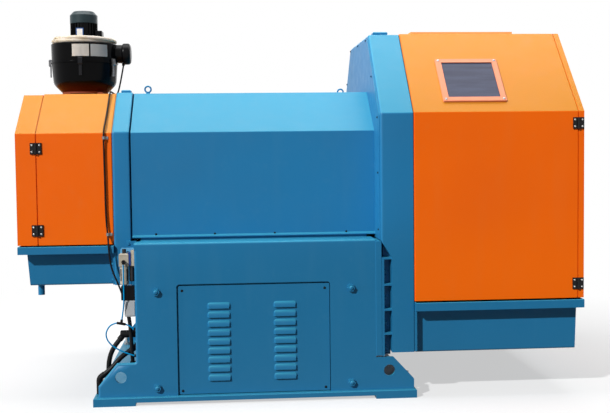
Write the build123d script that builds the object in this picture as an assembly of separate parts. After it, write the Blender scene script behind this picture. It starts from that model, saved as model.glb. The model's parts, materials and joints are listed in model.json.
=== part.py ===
"""Interlock armoring machine: a cable passes along the hollow main shaft, through the left
forming cabinet, the hooded drive housing and the right strip cabinet, all carried on one
fabricated steel base. Millimetres, +Z up, +X along the line from left to right as seen from
the operator's side, which is -Y. The origin is on the floor at the centre of the anchor holes."""

from build123d import *
from math import cos, pi, radians, sqrt, tan
import os

# Stations along the machine
LEFT_END = -1332
LEFT_SEAM = -1218
LEFT_FRAME = -794
LEFT_FRAME_RIGHT = -697
HOOD_LEFT = -689
BASE_LEFT = -667
BASE_FLANGE = 676
BASE_RIGHT = 711
HOOD_RIGHT = 702
RIGHT_FRAME = 706
RIGHT_FRAME_LOWER = 766
RIGHT_CABINET = 894
RIGHT_SEAM = 1834
RIGHT_END = 1868

# Cross-sections as (half depth, depth of the sloped shoulder, bottom, crest, top)
BASE_TOP = 900
LEFT_PROFILE = (667, 306, 881, 1512, 1750)
LEFT_DOOR_PROFILE = (667, 298, 881, 1512, 1744)
HOOD_PROFILE = (667, 306, BASE_TOP, 1512, 1750)
LEFT_FRAME_PROFILE = (676, 306, 648, 1516, 1756)
RIGHT_PROFILE = (878, 461, 547, 1606, 2092)
RIGHT_FRAME_PROFILE = (871, 461, 258, 1603, 2088)
BEND = 9
SHEET = 4
SHADOW_GAP = 4
AXIS_HEIGHT = 1318

# Frames: rounded edges, lifting blocks as (centre x, centre y, length, width, height)
FRAME_EDGE = 14
FRAME_BEND = 18
LEFT_BLOCK = (-750, -200, 58, 60, 24)
RIGHT_BLOCK = (792, -300, 90, 70, 26)

# Base
BASE_HALF = 855
TABLE = 40
PLATE = 20
BASE_EDGE = 14
BASE_FLANGE_BOTTOM = 240
BASE_FLANGE_TOP = 888
SEAT_RECESS = 24
FLOOR_TOP = 46
FLOOR_UNDER = 19
FLOOR_HALF = 885
FLOOR_END = 903
PAD_LENGTH = 232
PAD_DEPTH = 330
ANCHOR_X = 850
ANCHOR_Y = 800
ANCHOR_RADIUS = 14
LEVELLING_X = 868
LEVELLING_Y = 700
LIFT_HOLE_RADIUS = 32
LIFT_HOLE_HEIGHT = 155
LIFT_HOLE_X = 752
OPENING = (-438, 418, 667)
OPENING_CORNER = 16
LIP = 26
LIP_SHEET = 8
TIE_BOLTS = [(-551, 628), (-551, 91), (536, 628), (536, 91)]

# Louvred vent panel, a shallow tray set back in its opening
PANEL_SHEET = 3
PANEL_DEPTH = 20
PANEL_RECESS = 9
PANEL_GAP = 4
PANEL_LEFT_GAP = 9
PANEL_TOP = 657
PANEL_CORNER = 6
LOUVRE_COLUMNS = (-204, 165)
LOUVRE_COUNT = 9
LOUVRE_FIRST = 528
LOUVRE_PITCH = 50.6
LOUVRE_WIDTH = 132
LOUVRE_HEIGHT = 34
LOUVRE_RISE = 12
LOUVRE_SHEET = 2
LOUVRE_TAPER = 42
LOUVRE_CORNER = 18

# Main shaft
SHAFT_RADIUS = 90
SHAFT_BORE = 60
SHAFT_ENDS = (-880, 985)
FACE_PLATE = 36

# End doors and their hinges
SEAM_GAP = 6
STOP_OVERLAP = 3
STOP_GAP = 2
JAMB = 18
HINGE = 64
HINGE_LEAF = 8
KNUCKLE_RADIUS = 8
PIN_RADIUS = 4
KNUCKLE_GAP = 0.6
LEFT_HINGE_HEIGHTS = (1428, 965)
RIGHT_HINGE_HEIGHTS = (1539, 630)
ENTRY_RADIUS = 75

# Joint between the base's right end and the right frame, whose foot steps back between two heights
FRAME_STEP = (884, 798)
JOINT_FLANGE = 14
JOINT_BOTTOM = 236
JOINT_WEB = 800
JOINT_RIBS = (790, 641, 499, 363)
JOINT_NUTS = (708, 564, 420, 277)

# Drip trays: heights of the rims, sumps as (left, right, half depth, bottom)
RIM_PROUD = 30
LEFT_RIM = (832, 875)
RIGHT_RIM = (494, 541)
LEFT_SUMP = (-1290, -804, 616, 648)
RIGHT_SUMP = (908, 1842, 828, 248)
TRAY_SHEET = 5
SUMP_ROUND = 10

# Window on the right cabinet's front shoulder: centre along X and up the shoulder, size, border
WINDOW = (1256, 255, 366, 356, 33)

# Mist collector
COLLECTOR_X = -1024
DRUM_FLOOR = 1780
DRUM_TOP = 2077
DRUM_RADIUS = 203
DRUM_SEAM = 1957
COWL_BOTTOM = 2206
COWL_TOP = 2280
MOTOR_RADIUS = 84
MOTOR_FINS = 24
LATCH_TURNS = (-90, -175, -27)
OUTLET_HEIGHT = 2018

# Air preparation unit on the base's left end
AIR_Y = -800
TEE = (-747.5, -818, 450.5)
TEE_TILT = 10.8

# Cords: diameter and route, each from the fitting it leaves to the one it enters
CABLE_DIAMETER = 10
CABLE_ROUTE = [
    (-785, 0, 1946), (-795, -1, 1893), (-806, -2, 1840), (-816, -5, 1795), (-823, -38, 1765),
    (-828, -100, 1760), (-829.5, -190, 1762), (-829, -280, 1761), (-830, -367, 1767),
    (-832, -454, 1691), (-833, -533, 1630), (-836, -604, 1575), (-838, -683, 1521),
    (-838.5, -678, 1430), (-837.5, -677, 1315), (-836, -678, 1200), (-836, -677, 1085),
    (-832, -679, 990), (-826, -683, 932), (-823, -697, 898), (-820, -709, 858), (-815, -712, 805),
    (-807, -715, 755), (-790, -720, 706), (-765, -729, 652), (-741, -735, 585), (-717, -739, 505),
    (-706, -742, 430), (-701, -745, 350), (-698, -747, 280), (-695, -748, 222)]
SLEEVE_DIAMETER = 22
SLEEVE_ROUTE = CABLE_ROUTE[-5:]
TUBE_DIAMETER = 8
SUPPLY_ROUTE = [
    (-727, -846, 785), (-727.5, -846, 695), (-726.5, -843, 605), (-731, -834, 545),
    (-738, -824, 504), (-743.2, -818, 473.1)]
LEFT_TUBE_ROUTE = [
    (-771, -818, 455), (-797, -817, 449), (-819, -816, 430), (-833, -815, 401),
    (-831, -814, 371), (-816, -813, 343), (-793, -812, 321), (-758, -811, 299),
    (-718, -811, 281), (-679, -810, 267)]
RIGHT_TUBE_ROUTE = [(-724, -818, 446), (-708, -817, 440), (-692, -816, 430), (-679, -815, 418)]
CONDUIT_DIAMETER = 28
UPPER_CONDUIT_ROUTE = [
    (-748, -700, 366), (-772, -700, 338), (-798, -700, 305), (-819, -700, 268),
    (-832, -700, 222), (-836, -700, 172), (-833, -700, 122), (-828, -700, 80)]
LOWER_CONDUIT_ROUTE = [
    (-700, -712, 286), (-735, -722, 264), (-768, -734, 238), (-797, -745, 205),
    (-828, -752, 174), (-868, -757, 145)]
SWIVEL_END = -766
GLAND_RADIUS = 17
ELBOW_OVERLAP = 20
ELBOW_REACH = 16.5


def block(x, y, z):
    """A box from its low and high limits along each axis."""
    centre = Pos((x[0] + x[1]) / 2, (y[0] + y[1]) / 2, (z[0] + z[1]) / 2)
    return centre * Box(x[1] - x[0], y[1] - y[0], z[1] - z[0])


def rod(axis, centre, radius, length):
    """A cylinder centred on a point, along X, Y or Z."""
    turn = {"X": (0, 90, 0), "Y": (90, 0, 0), "Z": (0, 0, 0)}[axis]
    return Pos(*centre) * Rot(*turn) * Cylinder(radius, length)


def hexagon(axis, centre, across_corners, length):
    """A hexagon head or nut centred on a point, along X, Y or Z."""
    turn = {"X": (0, 90, 0), "Y": (90, 0, 0), "Z": (0, 0, 0)}[axis]
    head = extrude(RegularPolygon(across_corners / 2, 6), length / 2, both=True)
    return Pos(*centre) * Rot(*turn) * head


def rear(part):
    """The same piece on the far side of the machine."""
    return part.mirror(Plane.XZ)


def section(profile, bend=BEND):
    """The six-sided outline that every housing shares, seen along the machine."""
    half, slope, bottom, crest, top = profile
    corners = [(-half, bottom), (-half, crest), (slope - half, top),
               (half - slope, top), (half, crest), (half, bottom)]
    outline = make_face(Polyline(*corners, close=True))
    upper = outline.vertices().filter_by(lambda corner: corner.Y > bottom + 1)
    return fillet(upper, bend)


def inset(profile, depth, lower=0):
    """The outline moved inward by a sheet's thickness, with its shoulders kept parallel."""
    half, slope, bottom, crest, top = profile
    rise = top - crest
    length = sqrt(slope ** 2 + rise ** 2)
    inner_crest = crest + depth * (1 - rise / length) * rise / slope - depth * slope / length
    along = 1 - depth * (1 - slope / length) / rise
    inner_slope = along * slope + depth * rise / length - depth
    return (half - depth, inner_slope, bottom - lower, inner_crest, top - depth)


def prism(outline, x):
    """A cross-section run along the machine between two stations."""
    return extrude(Plane.YZ.offset(x[0]) * outline, x[1] - x[0])


def folded_shell(profile, x, thickness=SHEET):
    """A sheet folded over the cross-section: front, shoulders, top and rear, open below."""
    bore = section(inset(profile, thickness, 1), max(BEND - thickness, 2))
    return prism(section(profile), x) - prism(bore, (x[0] - 1, x[1] + 1))


def floor_plate():
    """Foot plate with four thicker corner pads, each drilled for an anchor bolt."""
    plate = block((-FLOOR_END, FLOOR_END), (-FLOOR_HALF, FLOOR_HALF), (FLOOR_UNDER, FLOOR_TOP))
    for end in (-1, 1):
        for side in (-1, 1):
            x = sorted((end * (FLOOR_END - PAD_LENGTH), end * FLOOR_END))
            y = sorted((side * (FLOOR_HALF - PAD_DEPTH), side * FLOOR_HALF))
            plate += block(x, y, (0, FLOOR_UNDER))
    plate = chamfer(plate.edges().group_by(Axis.Z)[-1], 3)
    for end in (-1, 1):
        for side in (-1, 1):
            plate -= rod("Z", (end * ANCHOR_X, side * ANCHOR_Y, FLOOR_TOP / 2), ANCHOR_RADIUS, FLOOR_TOP + 2)
    return plate


def levelling_bolts():
    """Levelling bolt with its lock nut beside each anchor hole."""
    bolts = Part()
    for x in (-LEVELLING_X, LEVELLING_X):
        for y in (-LEVELLING_Y, LEVELLING_Y):
            bolt = rod("Z", (x, y, FLOOR_TOP + 30), 12, 60)
            bolt += hexagon("Z", (x, y, FLOOR_TOP + 8), 41, 16)
            bolt += hexagon("Z", (x, y, FLOOR_TOP + 60), 41, 15)
            bolts += bolt
    return bolts


def base_side_plate():
    """Front plate of the base: lifting lugs at both feet, and the arched vent opening."""
    outline = [(BASE_LEFT, BASE_TOP - TABLE), (BASE_LEFT, 234), (-771, 234), (-877, 106), (-877, FLOOR_TOP),
               (892, FLOOR_TOP), (892, 103), (775, 230), (BASE_FLANGE, 230), (BASE_FLANGE, BASE_TOP - TABLE)]
    face = make_face(Polyline(*outline, close=True))
    lug_roots = face.vertices().filter_by(lambda corner: corner.Y in (234, 106, 103) or corner.X == 775)
    face = fillet(lug_roots, 12)
    left, right, top = OPENING
    hole = fillet(Rectangle(right - left, top - FLOOR_TOP + 60).vertices(), OPENING_CORNER)
    face -= Pos((left + right) / 2, (top + FLOOR_TOP - 60) / 2) * hole
    front = Plane.XZ.offset(BASE_HALF)
    plate = extrude(front * face, -PLATE)
    edge = plate.edges().filter_by(Axis.Z).filter_by(
        lambda line: abs(line.center().X - BASE_LEFT) < 1 and abs(line.center().Y + BASE_HALF) < 1)
    plate = fillet(edge, BASE_EDGE)
    surround = Pos(0, LIP / 2) * Rectangle(right - left + 2 * LIP, top - FLOOR_TOP + LIP)
    walls = surround - Rectangle(right - left, top - FLOOR_TOP)
    lip = surround - Pos(0, -LIP / 2) * Rectangle(right - left - 2 * LIP, top - FLOOR_TOP - LIP)
    centre = Pos((left + right) / 2, (top + FLOOR_TOP) / 2)
    lip_depth = PANEL_RECESS + PANEL_DEPTH
    plate += extrude(front.offset(-PLATE) * centre * walls, PLATE - lip_depth)
    plate += extrude(front.offset(-lip_depth) * centre * lip, -LIP_SHEET)
    for x in (-LIFT_HOLE_X, LIFT_HOLE_X):
        plate -= rod("Y", (x, -BASE_HALF + PLATE / 2, LIFT_HOLE_HEIGHT), LIFT_HOLE_RADIUS, PLATE + 4)
    return plate


def base_top_plate():
    """Table that the hood stands on; its left edge is cut back under the hood."""
    plate = block((BASE_LEFT, BASE_FLANGE), (-BASE_HALF, BASE_HALF), (BASE_TOP - TABLE, BASE_TOP))
    recess = Polyline((BASE_LEFT - 1, -770), (BASE_LEFT + SEAT_RECESS, -725), (BASE_LEFT + SEAT_RECESS, 725),
                      (BASE_LEFT - 1, 770), close=True)
    plate -= extrude(make_face(recess), BASE_TOP + 1)
    long_edges = plate.edges().filter_by(Axis.X).group_by(Axis.Z)[-1]
    return fillet([long_edges.sort_by(Axis.Y)[0], long_edges.sort_by(Axis.Y)[-1]], BASE_EDGE)


def base_right_end():
    """Thick end flange that the right frame is bolted to; it shows as a strip at both sides."""
    flange = block((BASE_FLANGE, BASE_RIGHT), (-BASE_HALF - 2, BASE_HALF + 2),
                   (BASE_FLANGE_BOTTOM, BASE_FLANGE_TOP))
    foot = block((BASE_FLANGE - PLATE, BASE_FLANGE), (-BASE_HALF + PLATE, BASE_HALF - PLATE),
                 (FLOOR_TOP, BASE_TOP - TABLE))
    return chamfer(flange.edges().filter_by(Axis.Z), 2) + foot


def tie_bolts():
    """Hexagon bolts and washers that tie the base's side plates to its inner frame."""
    bolts = Part()
    for x, z in TIE_BOLTS:
        bolts += rod("Y", (x, -BASE_HALF - 2, z), 24, 4) + hexagon("Y", (x, -BASE_HALF - 11.5, z), 41, 15)
    return bolts


def louvre_form(back, shrink):
    """The die that presses one louvre: a bulge with sloping, rounded ends, cut off at its mouth."""
    radius = (LOUVRE_HEIGHT ** 2 + LOUVRE_RISE ** 2) / (2 * LOUVRE_RISE)
    bulge = rod("X", (0, radius - LOUVRE_RISE, 0), radius - shrink, 2 * LOUVRE_WIDTH)
    slope = radians(LOUVRE_TAPER)
    spread = 2 * (back * tan(slope) - shrink / cos(slope))
    outline = fillet(Rectangle(LOUVRE_WIDTH + spread, 2 * LOUVRE_HEIGHT + spread).vertices(), LOUVRE_CORNER)
    die = extrude(Plane.XZ.offset(-back) * outline, back + LOUVRE_RISE + 2, taper=LOUVRE_TAPER)
    mouth = block((-LOUVRE_WIDTH, LOUVRE_WIDTH), (-LOUVRE_RISE - 5, back + 1), (0, LOUVRE_HEIGHT + 10))
    return bulge & die & mouth


def vent_panel():
    """Pressed vent panel: folded edges and two columns of louvres whose mouths face down."""
    panel_front = -BASE_HALF + PANEL_RECESS
    left, right, _ = OPENING
    width = right - left - PANEL_LEFT_GAP - PANEL_GAP
    height = PANEL_TOP - FLOOR_TOP - PANEL_GAP
    outline = fillet(Rectangle(width, height).vertices(), PANEL_CORNER)
    hollow = Rectangle(width - 2 * PANEL_SHEET, height - 2 * PANEL_SHEET)
    centre = Pos(left + PANEL_LEFT_GAP + width / 2, FLOOR_TOP + PANEL_GAP + height / 2)
    front = Plane.XZ.offset(-panel_front)
    panel = extrude(front * centre * outline, -PANEL_DEPTH)
    panel -= extrude(front.offset(-PANEL_SHEET) * centre * hollow, -PANEL_DEPTH)
    outer = louvre_form(0, 0)
    inner = louvre_form(PANEL_SHEET + 1, LOUVRE_SHEET)
    for x in LOUVRE_COLUMNS:
        for row in range(LOUVRE_COUNT):
            place = Pos(x, panel_front, LOUVRE_FIRST - row * LOUVRE_PITCH)
            panel = panel + place * outer - place * inner
    return panel


def hood_cover():
    """Folded hood over the drive, with a flared lip above the table and relieved corners."""
    half = HOOD_PROFILE[0]
    hood = folded_shell(HOOD_PROFILE, (HOOD_LEFT, HOOD_RIGHT))
    lip = Polyline((-half, BASE_TOP + 30), (-half - 15, BASE_TOP + 20), (-half - 15, BASE_TOP + 15),
                   (-half, BASE_TOP + 15), close=True)
    lip = prism(make_face(lip), (HOOD_LEFT, HOOD_RIGHT))
    hood += lip + rear(lip)
    for x in ((HOOD_LEFT - 1, BASE_LEFT + SEAT_RECESS), (BASE_FLANGE - SEAT_RECESS, HOOD_RIGHT + 1)):
        hood -= block(x, (-half - 20, half + 20), (BASE_TOP - 1, BASE_TOP + 15))
    return hood


def lifting_eye(x, y):
    """Forged eyebolt: collar, short neck and ring."""
    top = HOOD_PROFILE[4]
    ring = Pos(x, y, top + 28) * Rot(90, 0, 0) * Torus(18, 5)
    return ring + rod("Z", (x, y, top + 6), 12, 12)


def lifting_block(place, top):
    """Welded lifting block on the crown of a frame."""
    x, y, length, width, height = place
    solid = block((x - length / 2, x + length / 2), (y - width / 2, y + width / 2), (top - 2, top + height))
    return chamfer(solid.edges().group_by(Axis.Z)[-1], 5)


def frame_solid(profile, x):
    """A deep frame with rolled edges on both of its faces."""
    frame = prism(section(profile, FRAME_BEND), x)
    bottom = profile[2]
    for face in (frame.faces().sort_by(Axis.X)[0], frame.faces().sort_by(Axis.X)[-1]):
        station = face.center().X
        rim = frame.edges().filter_by(lambda line: abs(line.center().X - station) < 0.1
                                      and line.center().Z > bottom + 1)
        frame = fillet(rim, FRAME_EDGE if station < x[1] - 1 else FRAME_EDGE / 2)
    return frame


def left_frame():
    """Bearing frame between the forming cabinet and the hood."""
    frame = frame_solid(LEFT_FRAME_PROFILE, (LEFT_FRAME, LEFT_FRAME_RIGHT))
    frame += lifting_block(LEFT_BLOCK, LEFT_FRAME_PROFILE[4])
    return frame - rod("X", ((LEFT_FRAME + LEFT_FRAME_RIGHT) / 2, 0, AXIS_HEIGHT), SHAFT_RADIUS, 200)


def right_frame():
    """Deep fabricated frame; its foot steps back to leave room for the joint flange."""
    frame = frame_solid(RIGHT_FRAME_PROFILE, (RIGHT_FRAME, RIGHT_CABINET))
    frame += lifting_block(RIGHT_BLOCK, RIGHT_FRAME_PROFILE[4])
    step = Polyline((RIGHT_FRAME - 1, 892), (BASE_RIGHT, 892), (BASE_RIGHT, FRAME_STEP[0]),
                    (RIGHT_FRAME_LOWER, FRAME_STEP[1]), (RIGHT_FRAME_LOWER, 200), (RIGHT_FRAME - 1, 200),
                    close=True)
    frame -= extrude(Plane.XZ * make_face(step), 1000, both=True)
    return frame - rod("X", ((RIGHT_FRAME + RIGHT_CABINET) / 2, 0, AXIS_HEIGHT), SHAFT_RADIUS, 300)


def right_frame_side_plate():
    """Screwed cover plate over the hood side of the right frame."""
    profile = inset(RIGHT_FRAME_PROFILE, 22)
    plate = prism(section(profile, 8), (HOOD_RIGHT, RIGHT_FRAME))
    plate -= block((HOOD_RIGHT - 1, RIGHT_FRAME + 1), (-900, 900), (200, 896))
    return plate - rod("X", (RIGHT_FRAME, 0, AXIS_HEIGHT), SHAFT_RADIUS, 40)


def left_joint():
    """Spacer between the base's left end and the left frame, with a bolted tab at the front."""
    joint = block((LEFT_FRAME_RIGHT, BASE_LEFT), (-690, 690), (LEFT_FRAME_PROFILE[2], 893))
    tab = block((-722, BASE_LEFT), (-702, -690), (845, 900))
    for x, z in ((-710, 884), (-682, 860)):
        tab += hexagon("Y", (x, -705, z), 15, 6)
    rest = block((-722, LEFT_FRAME_RIGHT), (-690, -676), (845, 900))
    return joint + tab + rest


def right_joint():
    """Flange bolted to the base's right end, with webs and horizontal ribs back to the frame."""
    flange_right = BASE_RIGHT + JOINT_FLANGE
    joint = block((BASE_RIGHT, flange_right), (-BASE_HALF, BASE_HALF), (JOINT_BOTTOM, FRAME_STEP[1] - 2))
    fall = (FRAME_STEP[0] - FRAME_STEP[1]) / (RIGHT_FRAME_LOWER - BASE_RIGHT)
    web = Polyline((flange_right, JOINT_BOTTOM), (RIGHT_FRAME_LOWER, JOINT_BOTTOM),
                   (RIGHT_FRAME_LOWER, FRAME_STEP[1]), (flange_right, FRAME_STEP[0] - JOINT_FLANGE * fall),
                   close=True)
    web = extrude(Plane.XZ.offset(JOINT_WEB) * make_face(web), -PLATE / 2)
    joint += web + rear(web)
    for side in (-1, 1):
        for z in JOINT_RIBS:
            y = sorted((side * (BASE_HALF + 8), side * 662))
            joint += block((flange_right, RIGHT_FRAME_LOWER), y, (z - 5, z + 5))
        for z in JOINT_NUTS:
            joint += hexagon("X", (flange_right + 7, side * 830, z), 24, 14)
    return joint


def main_shaft():
    """Hollow main shaft that the cable passes through, with a face plate at each end."""
    left, right = SHAFT_ENDS
    middle = (left + right) / 2
    shaft = rod("X", (middle, 0, AXIS_HEIGHT), SHAFT_RADIUS, right - left)
    for x, radius in ((left + FACE_PLATE / 2, 165), (right - FACE_PLATE / 2, 200)):
        plate = rod("X", (x, 0, AXIS_HEIGHT), radius, FACE_PLATE)
        shaft += chamfer(plate.edges(), 3)
    return shaft - rod("X", (middle, 0, AXIS_HEIGHT), SHAFT_BORE, right - left + 10)


def cabinet(profile, frame_x, door_x, door_profile):
    """Housing shell: folded sheet, a flange at the frame, and a jamb with a stop behind the door's seam."""
    toward_door = 1 if door_x > frame_x else -1
    shell = folded_shell(profile, sorted((frame_x + toward_door * SHADOW_GAP, door_x)))
    inner = inset(profile, SHEET)
    shell += folded_shell(inner, sorted((frame_x, frame_x + toward_door * 20)))
    shell += folded_shell(inner, sorted((door_x, door_x - toward_door * SHEET)), JAMB)
    stop_x = sorted((door_x - toward_door * SHEET, door_x + toward_door * (SEAM_GAP + STOP_OVERLAP)))
    stop = folded_shell(inset(door_profile, SHEET + STOP_GAP), stop_x)
    half, _, bottom, _, _ = profile
    return shell + (stop - block(stop_x, (-half, half), (bottom - 1, bottom + SHEET + STOP_GAP)))


def end_door(profile, seam_x, end_x):
    """Tray-shaped end door: end plate, folded rim, floor, and the cable entry hole."""
    half, _, bottom, _, _ = profile
    inward = 1 if seam_x > end_x else -1
    door = folded_shell(profile, sorted((seam_x, end_x)))
    door += prism(section(profile), sorted((end_x, end_x + inward * SHEET)))
    door += block(sorted((seam_x, end_x)), (-half + 1, half - 1), (bottom, bottom + SHEET))
    return door - rod("X", (end_x, 0, AXIS_HEIGHT), ENTRY_RADIUS, 60)


def hinge_leaves(seam, heights, front, toward_door, moving):
    """One leaf of each hinge: the fixed leaf has the outer knuckles and the pin."""
    pin_y = -front - HINGE_LEAF
    side = toward_door if moving else -toward_door
    third = HINGE / 3
    leaves = Part()
    for z in heights:
        middle = (z - third / 2, z + third / 2)
        outer = [(z - HINGE / 2, z - third / 2), (z + third / 2, z + HINGE / 2)]
        own = [(middle[0] + KNUCKLE_GAP, middle[1] - KNUCKLE_GAP)] if moving else outer
        others = outer if moving else [middle]
        leaf = block(sorted((seam + side * 7, seam + side * HINGE / 2)), (pin_y, -front),
                     (z - HINGE / 2, z + HINGE / 2))
        leaf = chamfer(leaf.edges().filter_by(Axis.Z).sort_by(Axis.Y)[:2], 2)
        for low, high in own:
            leaf += block(sorted((seam, seam + side * 9)), (pin_y, pin_y + 4), (low, high))
            leaf += rod("Z", (seam, pin_y, (low + high) / 2), KNUCKLE_RADIUS, high - low)
        for low, high in others:
            leaf -= rod("Z", (seam, pin_y, (low + high) / 2), KNUCKLE_RADIUS + 2, high - low)
        if moving:
            leaf -= rod("Z", (seam, pin_y, z), PIN_RADIUS + 0.05, HINGE + 2)
        else:
            leaf += rod("Z", (seam, pin_y, z), PIN_RADIUS, HINGE)
        leaves += leaf
    return leaves


def welded(*plates):
    """Plates that meet along their welds, each kept as a solid of its own."""
    return Compound([solid for plate in plates for solid in plate.solids()])


def tray_rim(half, x, heights, sump_limits):
    """Rim of a drip tray, welded from strips: edges that stand proud of the cabinet, and a ledge for the sump."""
    low, high = heights
    left, right, sump_half, _ = sump_limits
    hole_x = (left + TRAY_SHEET, right - TRAY_SHEET)
    hole_half = sump_half - TRAY_SHEET
    inner_x = (x[0] + TRAY_SHEET, x[1] - TRAY_SHEET)
    inner_half = half - TRAY_SHEET
    ledge = (low, low + TRAY_SHEET)
    edge = block(x, (-half, -inner_half), heights)
    edge = chamfer(edge.edges().group_by(Axis.Z)[-1].filter_by(Axis.X).sort_by(Axis.Y)[0], 3)
    side_ledge = block(inner_x, (-inner_half, -hole_half), ledge)
    ends = [block(limits, (-inner_half, inner_half), heights) for limits in ((x[0], inner_x[0]), (inner_x[1], x[1]))]
    end_ledges = [block(limits, (-hole_half, hole_half), ledge)
                  for limits in ((inner_x[0], hole_x[0]), (hole_x[1], inner_x[1]))]
    return welded(edge, rear(edge), side_ledge, rear(side_ledge), *ends, *end_ledges)


def pan(limits, top, leans):
    """A block whose end walls lean inward toward its floor."""
    left, right, half, bottom = limits
    side = Polyline((left, top), (left + leans[0], bottom), (right - leans[1], bottom), (right, top), close=True)
    return extrude(Plane.XZ * make_face(side), half, both=True)


def sump(limits, top, leans):
    """Open pan below the tray rim, welded from five plates and ground round along its lower edges."""
    left, right, half, bottom = limits
    outer = pan(limits, top, leans)
    outer = fillet(outer.edges().filter_by(Axis.X).group_by(Axis.Z)[0], SUMP_ROUND)
    floor_top = bottom + TRAY_SHEET
    inner_half = half - TRAY_SHEET
    wall = outer & block((left, right), (-half, -inner_half), (bottom, top))
    floor = outer & block((left, right), (-inner_half, inner_half), (bottom, floor_top))
    ends = outer & block((left, right), (-inner_half, inner_half), (floor_top, top))
    ends -= pan((left + TRAY_SHEET, right - TRAY_SHEET, half, floor_top), top, leans)
    return welded(wall, rear(wall), floor, ends)


def sump_flange(x, half, heights, bolt_heights, toward):
    """Flange plate that hangs a tray on its frame, with a row of bolts at the front and rear."""
    flange = block(x, (-half, half), heights)
    head_x = x[1] + 4 if toward > 0 else x[0] - 4
    for side in (-1, 1):
        for z in bolt_heights:
            flange += hexagon("X", (head_x, side * (half - 16), z), 18, 8)
    return flange


def window_plane():
    """Plane of the right cabinet's front shoulder, with its origin at the crest."""
    half, slope, _, crest, top = RIGHT_PROFILE
    rise = top - crest
    length = sqrt(slope ** 2 + rise ** 2)
    return Plane(origin=(0, -half, crest), x_dir=(1, 0, 0), z_dir=(0, -rise / length, slope / length))


def window_face(margin):
    """The window's outline on the shoulder, smaller by a margin on every side."""
    x, up, width, height, _ = WINDOW
    return window_plane() * Pos(x, up) * Rectangle(width - 2 * margin, height - 2 * margin)


def window_frame():
    """Raised frame round the window, with rounded corners and softened edges."""
    x, up, width, height, border = WINDOW
    outline = window_plane() * Pos(x, up) * fillet(Rectangle(width, height).vertices(), 8)
    frame = extrude(outline, 12)
    outward = Axis((0, 0, 0), window_plane().z_dir)
    frame = chamfer(frame.faces().sort_by(outward)[-1].edges(), 3)
    return frame - extrude(window_face(border), 20, both=True)


def collector_feet():
    """Two feet of the mist collector with the round plate that joins them."""
    top = LEFT_PROFILE[4]
    base = rod("Z", (COLLECTOR_X, 0, DRUM_FLOOR - 6), 140, 12)
    for x in (-85, 105):
        base += block((COLLECTOR_X + x - 16, COLLECTOR_X + x + 16), (-125, 125), (top, DRUM_FLOOR - 6))
    return base


def collector_drum():
    """Drum turned from one profile: dished floor, seam bead and flat lid."""
    seam_radius = DRUM_RADIUS - 2
    with BuildLine(Plane.XZ) as profile:
        Polyline((0, DRUM_FLOOR), (144, DRUM_FLOOR), (176, DRUM_FLOOR + 32))
        JernArc((176, DRUM_FLOOR + 32), (32, 32), 60, 40)
        shoulder = profile.vertices().sort_by(Axis.X)[-1]
        Polyline((shoulder.X, shoulder.Z), (seam_radius, DRUM_SEAM - 5), (seam_radius + 5, DRUM_SEAM - 3),
                 (seam_radius + 5, DRUM_SEAM + 3), (seam_radius, DRUM_SEAM + 5), (DRUM_RADIUS, DRUM_TOP - 4),
                 (DRUM_RADIUS - 4, DRUM_TOP), (0, DRUM_TOP), (0, DRUM_FLOOR))
    return Pos(COLLECTOR_X, 0, 0) * revolve(make_face(profile.line), Axis.Z)


def collector_motor():
    """Finned motor body standing on the lid."""
    height = COWL_BOTTOM - DRUM_TOP
    body = rod("Z", (COLLECTOR_X, 0, DRUM_TOP + height / 2), MOTOR_RADIUS - 8, height)
    fin = block((MOTOR_RADIUS - 12, MOTOR_RADIUS), (-1.5, 1.5), (DRUM_TOP + 10, COWL_BOTTOM - 2))
    for turn in range(MOTOR_FINS):
        body += Pos(COLLECTOR_X, 0, 0) * Rot(0, 0, turn * 360 / MOTOR_FINS) * fin
    return body


def collector_cowl():
    """Fan cowl with a rounded and chamfered crown."""
    cowl = rod("Z", (COLLECTOR_X, 0, (COWL_BOTTOM + COWL_TOP) / 2), MOTOR_RADIUS + 1, COWL_TOP - COWL_BOTTOM)
    crown = cowl.edges().group_by(Axis.Z)[-1]
    cowl = chamfer(crown, 24, 22)
    return fillet(cowl.edges().group_by(Axis.Z)[-1], 6)


def collector_terminal_box():
    """Terminal box on the motor's right side."""
    inner = MOTOR_RADIUS + 1
    box = block((COLLECTOR_X + 60, COLLECTOR_X + inner + 30), (-42, 42), (2124, 2160))
    box = chamfer(box.edges().group_by(Axis.Z)[-1], 3)
    return box - rod("Z", (COLLECTOR_X, 0, 2140), inner, 60)


def hose_coil():
    """Hose coiled on the lid round the motor."""
    return Pos(COLLECTOR_X, 0, DRUM_TOP + 23) * Torus(177, 23)


def collector_outlet():
    """Outlet neck and rounded end cap on the drum's right side, with the cable's gland below."""
    neck = rod("X", (COLLECTOR_X + 217, 0, OUTLET_HEIGHT), 57, 74)
    cap = rod("X", (-765, 0, OUTLET_HEIGHT), 66, 56)
    gland_x, gland_y, gland_z = CABLE_ROUTE[0]
    gland = rod("Z", (gland_x, gland_y, gland_z + 10), 9, 20)
    drum = rod("Z", (COLLECTOR_X, 0, OUTLET_HEIGHT), DRUM_RADIUS, 400)
    drum += rod("Z", (COLLECTOR_X, 0, DRUM_SEAM), DRUM_RADIUS + 4, 14)
    return neck + fillet(cap.edges(), 18) + gland - drum


def collector_latches():
    """Toggle latches that clamp the two halves of the drum."""
    latches = Part()
    for turn in LATCH_TURNS:
        keeper = block((DRUM_RADIUS, DRUM_RADIUS + 16), (-13, 13), (1938, 1982))
        keeper = fillet(keeper.edges().filter_by(Axis.Y).sort_by(Axis.X)[-2:], 7)
        lever = block((DRUM_RADIUS - 4, DRUM_RADIUS + 8), (-9, 9), (1873, 1938))
        latch = keeper + lever - rod("Z", (0, 0, DRUM_SEAM), DRUM_RADIUS + 4, 16)
        latch -= rod("Z", (0, 0, DRUM_SEAM), DRUM_RADIUS, 400)
        latches += Pos(COLLECTOR_X, 0, 0) * Rot(0, 0, turn) * latch
    return latches


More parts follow.
